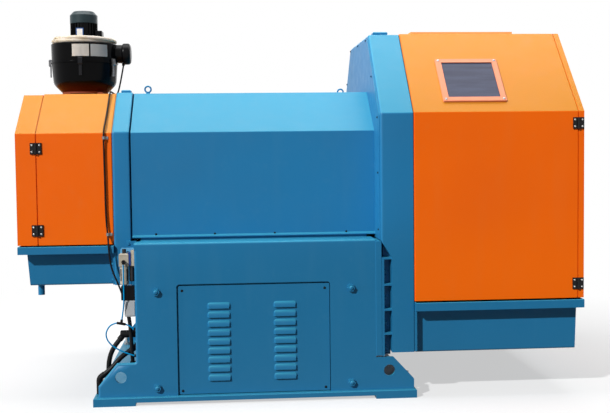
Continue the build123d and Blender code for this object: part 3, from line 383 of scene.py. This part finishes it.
def wound_hose():
    """Clear vinyl hose gone cream with age: milky, and yellowed in soft patches about 70 mm across."""
    made, tree, shader, place = new_material("cream vinyl hose")
    cloud = add_node(tree, "ShaderNodeTexNoise", {"Vector": place, "Scale": 14.0, "Detail": 4.0})
    tone = add_node(tree, "ShaderNodeValToRGB", {"Fac": cloud.outputs["Fac"]})
    set_ramp(tone, 0.35, "#B9A98F", 0.6, "#CFC4B8")
    tree.links.new(tone.outputs["Color"], shader.inputs["Base Color"])
    fine = add_node(tree, "ShaderNodeTexNoise", {"Vector": place, "Scale": 140.0, "Detail": 2.0})
    bump = add_node(tree, "ShaderNodeBump", {"Height": fine.outputs["Fac"], "Strength": 0.1,
                                             "Distance": 0.001})
    tree.links.new(bump.outputs["Normal"], shader.inputs["Normal"])
    # Milky vinyl lets light through, so its shaded side glows
    shader.inputs["Subsurface Weight"].default_value = 0.35
    shader.inputs["Subsurface Radius"].default_value = (1.0, 0.9, 0.75)
    shader.inputs["Subsurface Scale"].default_value = 0.06
    shader.inputs["Roughness"].default_value = 0.45
    shader.inputs["Specular IOR Level"].default_value = 0.3
    return made


def air_unit_casting():
    """Painted zinc die casting of the air unit: warm grey, with its bowls, divider, knob and
    bracket in their own colours and the bowl guard's slots as painted shade, told apart by where they lie."""
    made, tree, shader, place = new_material("painted zinc die casting")
    axes = add_node(tree, "ShaderNodeSeparateXYZ", {"Vector": place})
    cloud = add_node(tree, "ShaderNodeTexNoise", {"Vector": place, "Scale": 40.0, "Detail": 4.0})
    tone = add_node(tree, "ShaderNodeValToRGB", {"Fac": cloud.outputs["Fac"]})
    set_ramp(tone, 0.2, "#9A917F", 0.8, "#C6BDAB")
    layer = tone.outputs["Color"]
    for colour, tests in AIR_UNIT_PARTS:
        inside = 1.0
        for axis, test, limit, half_width in tests:
            met = add_node(tree, "ShaderNodeMath", {0: axes.outputs[axis], 1: limit, 2: half_width},
                           operation=test)
            both = add_node(tree, "ShaderNodeMath", {0: met.outputs["Value"], 1: inside},
                            operation="MULTIPLY")
            inside = both.outputs["Value"]
        layer = add_node(tree, "ShaderNodeMix", {"Factor": inside, "A": layer, "B": linear(colour)},
                         data_type="RGBA").outputs["Result"]
    tree.links.new(layer, shader.inputs["Base Color"])
    shader.inputs["Roughness"].default_value = 0.42
    shader.inputs["Specular IOR Level"].default_value = 0.3
    return made


def make_materials():
    """Every finish on the machine, by the name of the record's slot or of the piece it is for."""
    return {
        "orange_paint": sprayed_enamel("orange alkyd enamel", "#F86904", "#F26508", "#C67E20", "#F96C04",
                                       "#DE7E40", 0.42, 0.18),
        # Painted light: the lid's enamel is pale all over, its upright edge too, standing in for the sun on
        # it
        "painted_sunlit_lid": sprayed_enamel("orange enamel with painted sunlight", "#FFB06A", "#FBA55C", "#E28530", "#FFB06A",
                                    "#E8A870", 0.5, 0.15),
        "blue_paint": sprayed_enamel("blue alkyd enamel", "#1E76A8", "#2472A1", "#2F8CAD", "#1A6C97",
                                     "#4F86A2", 0.42, 0.22),
        # Black stove enamel on the motor and valve: deep, even and fairly glossy
        "black_enamel": grained("black stove enamel", "#040405", "#08080A", 0.3, 0.0, 9.0, 0.04, 0.1),
        "drum_enamel": drum_enamel(),
        # Black zinc alloy, tumbled: flat black with softly shining edges
        "hinge_black": grained("black-plated zinc alloy", "#070708", "#0E0E10", 0.42, 0.0, 3.0, 0.12, 0.2),
        "machined_steel": turned_steel(),
        # Salmon polyester enamel on the window's frame: thin and pale
        "salmon_paint": grained("salmon polyester enamel", "#DD8460", "#E28C69", 0.45, 0.0, 6.0, 0.05, 0.25),
        "clear_pane": smoked_acrylic_with_painted_inside(),
        # Red iron-oxide primer: chalky, with no shine
        "primer_red": grained("red iron-oxide primer", "#7A3B2A", "#96513D", 0.75, 0.0, 4.0, 0.2, 0.2),
        # Grey-green hammered enamel on the fan cowl
        "grey_green_paint": grained("grey-green hammered enamel", "#17262A", "#223236", 0.36, 0.0, 5.0,
                                    0.12, 0.25),
        "cream_hose": wound_hose(),
        "beige_plastic": air_unit_casting(),
        # Light grey powder coat: finely pebbled
        "grey_enclosure": grained("light grey powder coat", "#A9ABAC", "#BDBEBF", 0.55, 0.0, 2.0, 0.15, 0.3),
        # Zinc-plated steel: cool, slightly cloudy metal
        "zinc_steel": grained("zinc-plated steel", "#8F9092", "#B9B9B7", 0.36, 1.0, 4.0, 0.08),
        "latch_steel": latch_steel(),
        # Zinc plating gone dull on the clips that hold the cable
        "clip_steel": grained("dulled zinc-plated clip steel", "#606163", "#8A8B8C", 0.5, 1.0, 4.0, 0.08),
        # Glass-filled nylon: dull black
        "black_plastic": grained("black nylon", "#050506", "#0A0A0C", 0.5, 0.0, 2.5, 0.1, 0.12),
        # Polyurethane air tube: clear bright blue, softly shining
        "blue_tube": grained("blue polyurethane tube", "#0088C0", "#0494CC", 0.5, 0.0, 20.0, 0.02, 0.04),
        # Vinyl-coated steel conduit: black, its spiral just felt through the coat
        "black_conduit": grained("vinyl-coated conduit", "#08090A", "#0F1013", 0.4, 0.0, 6.0, 0.3, 0.15),
        # Cream polyester film on the drum, left bare
        "plate_cream": grained("cream polyester plate", "#F4EDE4", "#F9F4EC", 0.4, 0.0, 8.0, 0.03, 0.3),
        # Silver polyester film on the drum, left bare
        "plate_grey": grained("silver polyester plate", "#D2D2D2", "#E0DFDC", 0.4, 0.0, 8.0, 0.03, 0.3),
        # Blue border printed round the motor's plate
        "plate_blue": grained("blue plate border", "#3A5A93", "#4566A0", 0.4, 0.0, 8.0, 0.03, 0.3),
    }


# Filled by the first step, for the steps that dress or make pieces
finishes = {}


def finish_piece(mesh, name, finish, body):
    """Turns a finished bmesh into a piece that rides on a body."""
    data = bpy.data.meshes.new(name)
    mesh.to_mesh(data)
    mesh.free()
    piece = bpy.data.objects.new(name, data)
    bpy.context.scene.collection.objects.link(piece)
    data.materials.append(finishes[finish])
    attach(piece, body)
    return piece


def facing(direction, place):
    """Matrix that stands a shape, made along +Z, at a place in millimetres facing a direction."""
    turn = Vector(direction).to_track_quat("Z", "Y").to_matrix().to_4x4()
    return Matrix.Translation(Vector(place) * MM) @ turn


def pan_head(mesh, direction, place, radius, height, segments=14):
    """Adds a low domed screw head to a mesh."""
    made = bmesh.ops.create_cone(mesh, cap_ends=True, segments=segments, radius1=radius * MM,
                                 radius2=radius * MM * 0.62, depth=height * MM)["verts"]
    top = max(corner.co.z for corner in made)
    crown = [edge for edge in {edge for corner in made for edge in corner.link_edges}
             if all(abs(corner.co.z - top) < 1e-7 for corner in edge.verts)]
    bevelled = bmesh.ops.bevel(mesh, geom=crown, offset=radius * MM * 0.25, offset_type="OFFSET", segments=2,
                               profile=0.5, affect="EDGES", material=-1)["verts"]
    shape = [corner for corner in {*made, *bevelled} if corner.is_valid]
    bmesh.ops.translate(mesh, verts=shape, vec=(0, 0, height * MM / 2))
    bmesh.ops.transform(mesh, matrix=facing(direction, place), verts=shape)


def smooth_by_angle(piece, degrees):
    """Shades a piece smooth except across edges sharper than an angle."""
    piece.data.polygons.foreach_set("use_smooth", [True] * len(piece.data.polygons))
    split = piece.modifiers.new("crisp edges", "EDGE_SPLIT")
    split.split_angle = radians(degrees)
    split.use_edge_sharp = False


def lay_cord(name, route, diameter, slot, replaced):
    """Makes a cord as one smooth curve in place of the solid that it replaces."""
    curve = bpy.data.curves.new(name, "CURVE")
    curve.dimensions = "3D"
    curve.bevel_depth = diameter * MM / 2
    curve.bevel_resolution = 5
    curve.resolution_u = 10
    curve.use_fill_caps = True
    spline = curve.splines.new("NURBS")
    spline.points.add(len(route) - 1)
    for point, place in zip(spline.points, route):
        point.co = (*(value * MM for value in place), 1)
    spline.order_u = 3
    spline.use_endpoint_u = True
    piece = bpy.data.objects.new(name, curve)
    bpy.context.scene.collection.objects.link(piece)
    curve.materials.append(finishes[slot])
    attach(piece, "machine")
    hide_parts(replaced)


def strand_reach(turn):
    """Distance from the bundle's middle to the outside of its three strands, at an angle round it."""
    lobe = (turn + pi / 3) % (2 * pi / 3) - pi / 3
    return STRAND_OFFSET * cos(lobe) + sqrt(STRAND_RADIUS ** 2 - (STRAND_OFFSET * sin(lobe)) ** 2)


class ArmoringSizes(bpy.types.PropertyGroup):
    """Sizes a user would change."""
    screw_radius: bpy.props.FloatProperty(
        name="Cover screw radius", description="Radius of the hood's and side plate's pan heads",
        default=0.0065, unit="LENGTH")
    vent_screw_radius: bpy.props.FloatProperty(
        name="Vent screw radius", description="Radius of the vent panel's screws", default=0.0075,
        unit="LENGTH")
    hinge_screw_radius: bpy.props.FloatProperty(
        name="Hinge screw radius", description="Radius of the hinges' screws", default=0.0055, unit="LENGTH")


class ArmoringColours(bpy.types.PropertyGroup):
    """Colours a user would change."""
    backdrop: bpy.props.FloatVectorProperty(
        name="Backdrop", description="Colour of the studio's background", default=linear("#FFFFFF")[:3],
        subtype="COLOR", size=3)


class ARMORING_OT_mix_finishes(bpy.types.Operator):
    """Mixes every finish of the machine"""
    bl_idname = "armoring.mix_finishes"
    bl_label = "Mix finishes"

    def execute(self, context):
        finishes.update(make_materials())
        return {"FINISHED"}


class ARMORING_OT_dress_frame(bpy.types.Operator):
    """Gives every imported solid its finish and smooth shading"""
    bl_idname = "armoring.dress_frame"
    bl_label = "Dress the packed solids"

    def execute(self, context):
        slots = {row["node"]: row["material_slot"] for row in frame["record"]["subparts"]}
        for node, piece in frame["nodes"].items():
            finish = OWN_FINISH.get(node, slots[node])
            if "hinge" in node:
                finish = "hinge_black"
            piece.data.materials.clear()
            piece.data.materials.append(finishes[finish])
            weld = piece.modifiers.new("weld", "WELD")
            weld.merge_threshold = 0.00002
            smooth_by_angle(piece, 28)
        return {"FINISHED"}


class ARMORING_OT_lay_cords(bpy.types.Operator):
    """Lays the collector's cable, the air tubes and the conduits"""
    bl_idname = "armoring.lay_cords"
    bl_label = "Lay the cords"

    def execute(self, context):
        lay_cord("cable", CABLE_ROUTE, 10, "black_plastic", "collector_cable")
        lay_cord("supply_air_tube", SUPPLY_ROUTE, 8, "blue_tube", "air_tube_supply")
        lay_cord("left_air_tube", LEFT_TUBE_ROUTE, 8, "blue_tube", "air_tube_left")
        lay_cord("right_air_tube", RIGHT_TUBE_ROUTE, 8, "blue_tube", "air_tube_right")
        lay_cord("upper_conduit", UPPER_CONDUIT_ROUTE, 28, "black_conduit", "conduit_upper")
        lay_cord("lower_conduit", LOWER_CONDUIT_ROUTE, 28, "black_conduit", "conduit_lower")
        return {"FINISHED"}


class ARMORING_OT_fit_cover_screws(bpy.types.Operator):
    """Fits the black pan heads along the hood's lip and round the side plate"""
    bl_idname = "armoring.fit_cover_screws"
    bl_label = "Fit cover screws"

    def execute(self, context):
        radius = context.scene.armoring_sizes.screw_radius / MM
        mesh = bmesh.new()
        for side in (-1, 1):
            for x, z in HOOD_SCREWS:
                pan_head(mesh, (0, side, 0), (x, side * HOOD_FACE, z), radius, COVER_SCREW_HEIGHT)
        for y, z in SIDE_PLATE_SCREWS:
            pan_head(mesh, (-1, 0, 0), (SIDE_PLATE_FACE, y, z), radius, COVER_SCREW_HEIGHT)
        piece = finish_piece(mesh, "cover_screws", "black_plastic", "machine")
        smooth_by_angle(piece, 35)
        return {"FINISHED"}


class ARMORING_OT_fit_vent_screws(bpy.types.Operator):
    """Fits the black screws at the vent panels' corners"""
    bl_idname = "armoring.fit_vent_screws"
    bl_label = "Fit vent screws"

    def execute(self, context):
        radius = context.scene.armoring_sizes.vent_screw_radius / MM
        mesh = bmesh.new()
        for side in (-1, 1):
            for x, z in VENT_SCREWS:
                pan_head(mesh, (0, side, 0), (x, side * PANEL_FACE, z), radius, VENT_SCREW_HEIGHT)
        piece = finish_piece(mesh, "vent_screws", "black_plastic", "machine")
        smooth_by_angle(piece, 35)
        return {"FINISHED"}


class ARMORING_OT_fit_bolt_ends(bpy.types.Operator):
    """Fits the rounded bolt ends that stand out of the tie bolts' nuts"""
    bl_idname = "armoring.fit_bolt_ends"
    bl_label = "Fit bolt ends"

    def execute(self, context):
        mesh = bmesh.new()
        for side in (-1, 1):
            for x, z in TIE_BOLTS:
                place = (x, side * TIE_BOLT_FACE, z)
                pan_head(mesh, (0, side, 0), place, BOLT_END_RADIUS, BOLT_END_HEIGHT, 20)
        piece = finish_piece(mesh, "tie_bolt_ends", "blue_paint", "machine")
        smooth_by_angle(piece, 35)
        return {"FINISHED"}


class ARMORING_OT_fit_window_screws(bpy.types.Operator):
    """Fits the plated screws at the window frame's corners"""
    bl_idname = "armoring.fit_window_screws"
    bl_label = "Fit window screws"

    def execute(self, context):
        upward = Vector((0, SHOULDER_RUN, SHOULDER_RISE)).normalized()
        outward = Vector((0, -upward.z, upward.y))
        middle = Vector(WINDOW_CREST) + upward * WINDOW_UP_SLOPE + outward * WINDOW_FRAME_FACE
        mesh = bmesh.new()
        for across in (-1, 1):
            for up in (-1, 1):
                place = middle + upward * (up * WINDOW_SCREW_UP)
                place.x += across * WINDOW_SCREW_ACROSS
                pan_head(mesh, outward, place, WINDOW_SCREW_RADIUS, WINDOW_SCREW_HEIGHT, 16)
        piece = finish_piece(mesh, "window_screws", "zinc_steel", "machine")
        smooth_by_angle(piece, 35)
        return {"FINISHED"}


class ARMORING_OT_fit_hinge_screws(bpy.types.Operator):
    """Fits four plated screws to each hinge, two of them on the leaf that moves with the door"""
    bl_idname = "armoring.fit_hinge_screws"
    bl_label = "Fit hinge screws"

    def execute(self, context):
        radius = context.scene.armoring_sizes.hinge_screw_radius / MM
        for seam, front, heights, door, fixed_side in HINGES:
            for body, side in (("machine", fixed_side), (door, -fixed_side)):
                mesh = bmesh.new()
                for middle in heights:
                    for z in (middle - HINGE_SCREW_UP, middle + HINGE_SCREW_UP):
                        place = (seam + side * HINGE_SCREW_ACROSS, front, z)
                        pan_head(mesh, (0, -1, 0), place, radius, HINGE_SCREW_HEIGHT)
                piece = finish_piece(mesh, f"hinge_screws_{door}_{body}", "zinc_steel", body)
                smooth_by_angle(piece, 35)
        return {"FINISHED"}


class ARMORING_OT_wind_hose(bpy.types.Operator):
    """Winds the three strands of hose round the motor, with the turn that ties them"""
    bl_idname = "armoring.wind_hose"
    bl_label = "Wind the hose"

    def execute(self, context):
        middle = Vector((COLLECTOR_X, 0, HOSE_HEIGHT)) * MM
        mesh = bmesh.new()
        section = bmesh.ops.create_circle(mesh, segments=48, radius=1)["verts"]
        for corner in section:
            turn = atan2(corner.co.y, corner.co.x)
            reach = strand_reach(turn)
            corner.co = Vector((HOSE_RADIUS + reach * cos(turn), 0, reach * sin(turn))) * MM
        bmesh.ops.spin(mesh, geom=[*mesh.verts, *mesh.edges], cent=(0, 0, 0), axis=(0, 0, 1), dvec=(0, 0, 0),
                       angle=2 * pi, steps=144, use_merge=True, use_duplicate=False)
        bmesh.ops.remove_doubles(mesh, verts=mesh.verts, dist=1e-6)
        for corner in mesh.verts:
            around = atan2(corner.co.y, corner.co.x) % (2 * pi)
            out = Vector((cos(around), sin(around), 0))
            core = out * HOSE_RADIUS * MM
            tangent = Vector((-sin(around), cos(around), 0))
            twist = Matrix.Rotation(around * LOBES_TURNED / 3, 3, tangent)
            corner.co = middle + core + twist @ (corner.co - core)
        bmesh.ops.recalc_face_normals(mesh, faces=mesh.faces)
        bundle = finish_piece(mesh, "wound_hose", "cream_hose", "machine")
        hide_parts("hose_coil")
        smooth_by_angle(bundle, 60)

        mesh = bmesh.new()
        ring = bmesh.ops.create_circle(mesh, segments=16, radius=HOSE_TIE_STRAND * MM)["verts"]
        bmesh.ops.rotate(mesh, verts=ring, cent=(0, 0, 0), matrix=Matrix.Rotation(pi / 2, 3, "X"))
        bmesh.ops.translate(mesh, verts=ring, vec=(HOSE_TIE_RADIUS * MM, 0, 0))
        bmesh.ops.spin(mesh, geom=[*mesh.verts, *mesh.edges], cent=(0, 0, 0), axis=(0, 0, 1), dvec=(0, 0, 0),
                       angle=2 * pi, steps=40, use_merge=True, use_duplicate=False)
        bmesh.ops.remove_doubles(mesh, verts=mesh.verts, dist=1e-6)
        around = radians(HOSE_TIE_TURN)
        place = Vector((COLLECTOR_X + HOSE_RADIUS * cos(around), HOSE_RADIUS * sin(around), HOSE_HEIGHT))
        lean = Vector((-sin(around), cos(around), HOSE_TIE_LEAN))
        bmesh.ops.transform(mesh, matrix=facing(lean, place), verts=mesh.verts)
        bmesh.ops.recalc_face_normals(mesh, faces=mesh.faces)
        smooth_by_angle(finish_piece(mesh, "hose_tie", "cream_hose", "machine"), 60)
        return {"FINISHED"}


class ARMORING_OT_fit_plates(bpy.types.Operator):
    """Fits the bare plates: two bent to the drum's curve, and a flat one on the motor"""
    bl_idname = "armoring.fit_plates"
    bl_label = "Fit bare plates"

    def execute(self, context):
        low, high = DRUM_PLATE_HEIGHTS
        for name, left, right, finish in DRUM_PLATES:
            mesh = bmesh.new()
            bmesh.ops.create_grid(mesh, x_segments=10, y_segments=1, size=1)
            for corner in mesh.verts:
                x = (left + right) / 2 + corner.co.x * (right - left) / 2
                z = (low + high) / 2 + corner.co.y * (high - low) / 2
                y = -sqrt(DRUM_PLATE_RADIUS ** 2 - (x - COLLECTOR_X) ** 2)
                corner.co = Vector((x, y, z)) * MM
            bmesh.ops.solidify(mesh, geom=mesh.faces[:], thickness=-DRUM_PLATE_SHEET * MM)
            bmesh.ops.recalc_face_normals(mesh, faces=mesh.faces)
            finish_piece(mesh, name, finish, "machine")

        (left, right), face, (low, high) = MOTOR_PLATE
        mesh = bmesh.new()
        bmesh.ops.create_cube(mesh, size=1)
        size = Vector((right - left, MOTOR_PLATE_SHEET, high - low))
        bmesh.ops.scale(mesh, verts=mesh.verts, vec=size * MM)
        bmesh.ops.translate(mesh, verts=mesh.verts,
                            vec=Vector(((left + right) / 2, face, (low + high) / 2)) * MM)
        front = min(mesh.faces, key=lambda side: side.calc_center_median().y)
        bmesh.ops.inset_region(mesh, faces=[front], thickness=MOTOR_PLATE_BORDER * MM, depth=0)
        front.material_index = 1
        plate = finish_piece(mesh, "motor_plate", "plate_blue", "machine")
        plate.data.materials.append(finishes["plate_cream"])
        return {"FINISHED"}


def floor_finish(backdrop):
    """Painted concrete: what the eye sees is white and holds the shadow, and it fades into the backdrop."""
    made, tree, shader, place = new_material("white painted floor")
    shader.inputs["Base Color"].default_value = linear("#F4F4F4")
    shader.inputs["Roughness"].default_value = 0.9
    shader.inputs["Specular IOR Level"].default_value = 0.0
    reach = add_node(tree, "ShaderNodeVectorMath", {0: place}, operation="LENGTH")
    far = add_node(tree, "ShaderNodeMapRange", {"Value": reach.outputs["Value"], "From Min": FLOOR_FADES[0],
                                                "From Max": FLOOR_FADES[1], "To Min": FLOOR_GLOW,
                                                "To Max": 1.0}, interpolation_type="SMOOTHSTEP")
    glow = add_node(tree, "ShaderNodeEmission", {"Color": backdrop, "Strength": 1.0})
    faded = add_node(tree, "ShaderNodeMixShader", {0: far.outputs["Result"], 1: shader.outputs["BSDF"],
                                                   2: glow.outputs["Emission"]})
    # What the floor throws back on the machine is grey, so that the undersides stay dark
    dull = add_node(tree, "ShaderNodeBsdfDiffuse", {"Color": linear("#4C4C4C")})
    rays = add_node(tree, "ShaderNodeLightPath")
    bounced = add_node(tree, "ShaderNodeMixShader", {0: rays.outputs["Is Diffuse Ray"],
                                                     1: faded.outputs["Shader"], 2: dull.outputs["BSDF"]})
    tree.links.new(bounced.outputs["Shader"], tree.nodes["Material Output"].inputs["Surface"])
    return made


def lay_floor(scene, backdrop):
    """Lays a wide round floor under the machine."""
    mesh = bmesh.new()
    bmesh.ops.create_circle(mesh, cap_ends=True, segments=96, radius=FLOOR_RADIUS)
    data = bpy.data.meshes.new("floor")
    mesh.to_mesh(data)
    mesh.free()
    floor = bpy.data.objects.new("floor", data)
    scene.collection.objects.link(floor)
    data.materials.append(floor_finish(backdrop))


def paint_surroundings(scene, backdrop):
    """Gives the eye and reflections a white studio, and the machine a dim, cool sky."""
    world = bpy.data.worlds.new("studio")
    world.use_nodes = True
    scene.world = world
    tree = world.node_tree
    tree.nodes.clear()
    rays = add_node(tree, "ShaderNodeLightPath").outputs
    seen = add_node(tree, "ShaderNodeMath", {0: rays["Is Camera Ray"], 1: rays["Is Glossy Ray"]},
                    operation="MAXIMUM")
    seen = add_node(tree, "ShaderNodeMath", {0: seen.outputs["Value"], 1: rays["Is Transmission Ray"]},
                    operation="MAXIMUM")
    lit = add_node(tree, "ShaderNodeBackground", {"Color": linear("#DDE6EE"), "Strength": 0.12})
    pale = add_node(tree, "ShaderNodeBackground", {"Color": backdrop, "Strength": 1.0})
    both = add_node(tree, "ShaderNodeMixShader", {"Fac": seen.outputs["Value"],
                                                  1: lit.outputs["Background"],
                                                  2: pale.outputs["Background"]})
    add_node(tree, "ShaderNodeOutputWorld", {"Surface": both.outputs["Shader"]})


def hang_lamps(scene):
    """Hangs the softboxes and the sun."""
    for name, place, target, size, power in SOFTBOXES:
        lamp = bpy.data.lights.new(name, "AREA")
        lamp.shape = "RECTANGLE"
        lamp.size, lamp.size_y = size
        lamp.energy = power
        holder = bpy.data.objects.new(name, lamp)
        scene.collection.objects.link(holder)
        aim = (Vector(target) - Vector(place)).to_track_quat("-Z", "Y").to_matrix().to_4x4()
        holder.matrix_world = Matrix.Translation(place) @ aim
        # The left fill would draw a hard strip on the black drum
        holder.visible_glossy = name != "left softbox"
    lamp = bpy.data.lights.new("key", "SUN")
    lamp.energy = SUN_STRENGTH
    lamp.angle = radians(SUN_WIDTH)
    holder = bpy.data.objects.new("key", lamp)
    scene.collection.objects.link(holder)
    holder.matrix_world = Vector(SUN_TRAVELS).to_track_quat("-Z", "Y").to_matrix().to_4x4()


def stand_camera(scene):
    """Stands the camera where the photographer's was."""
    data = bpy.data.cameras.new("camera")
    data.sensor_width = 36
    data.lens = CAMERA_LENS
    camera = bpy.data.objects.new("camera", data)
    scene.collection.objects.link(camera)
    yaw, pitch, roll = (radians(turn) for turn in CAMERA_TURNS)
    forward = Vector((sin(yaw) * cos(pitch), cos(yaw) * cos(pitch), sin(pitch)))
    level = Vector((cos(yaw), -sin(yaw), 0))
    above = level.cross(forward)
    right = level * cos(roll) - above * sin(roll)
    up = level * sin(roll) + above * cos(roll)
    turn = Matrix((right, up, -forward)).transposed().to_4x4()
    camera.matrix_world = Matrix.Translation(CAMERA_PLACE) @ turn
    scene.camera = camera


class ARMORING_OT_set_stage(bpy.types.Operator):
    """Sets the floor, the lights, the white surroundings and the camera"""
    bl_idname = "armoring.set_stage"
    bl_label = "Set the stage"

    def execute(self, context):
        scene = context.scene
        backdrop = (*scene.armoring_colours.backdrop, 1)
        lay_floor(scene, backdrop)
        paint_surroundings(scene, backdrop)
        hang_lamps(scene)
        stand_camera(scene)
        scene.view_settings.view_transform = "Standard"
        return {"FINISHED"}


STEPS = (ARMORING_OT_mix_finishes, ARMORING_OT_dress_frame, ARMORING_OT_lay_cords,
         ARMORING_OT_fit_cover_screws, ARMORING_OT_fit_vent_screws, ARMORING_OT_fit_bolt_ends,
         ARMORING_OT_fit_window_screws, ARMORING_OT_fit_hinge_screws, ARMORING_OT_wind_hose,
         ARMORING_OT_fit_plates, ARMORING_OT_set_stage)


class ARMORING_PT_panel(bpy.types.Panel):
    """Lists the steps that dress the machine."""
    bl_idname = "ARMORING_PT_panel"
    bl_label = "Interlock armoring machine"
    bl_space_type = "VIEW_3D"
    bl_region_type = "UI"
    bl_category = "Armoring"

    def draw(self, context):
        for name in ("screw_radius", "vent_screw_radius", "hinge_screw_radius"):
            self.layout.prop(context.scene.armoring_sizes, name)
        self.layout.prop(context.scene.armoring_colours, "backdrop")
        for step in STEPS:
            self.layout.operator(step.bl_idname)


CLASSES = (ArmoringSizes, ArmoringColours, *STEPS, ARMORING_PT_panel)


def register():
    """Registers every class and hangs the settings on the scene."""
    for kind in CLASSES:
        bpy.utils.register_class(kind)
    bpy.types.Scene.armoring_sizes = bpy.props.PointerProperty(type=ArmoringSizes)
    bpy.types.Scene.armoring_colours = bpy.props.PointerProperty(type=ArmoringColours)


def unregister():
    """Takes the settings and classes away again."""
    del bpy.types.Scene.armoring_colours
    del bpy.types.Scene.armoring_sizes
    for kind in reversed(CLASSES):
        bpy.utils.unregister_class(kind)


def main():
    """Builds the looks step by step."""
    register()
    for step in STEPS:
        group, name = step.bl_idname.split(".")
        getattr(getattr(bpy.ops, group), name)()


if __name__ == "__main__":
    main()
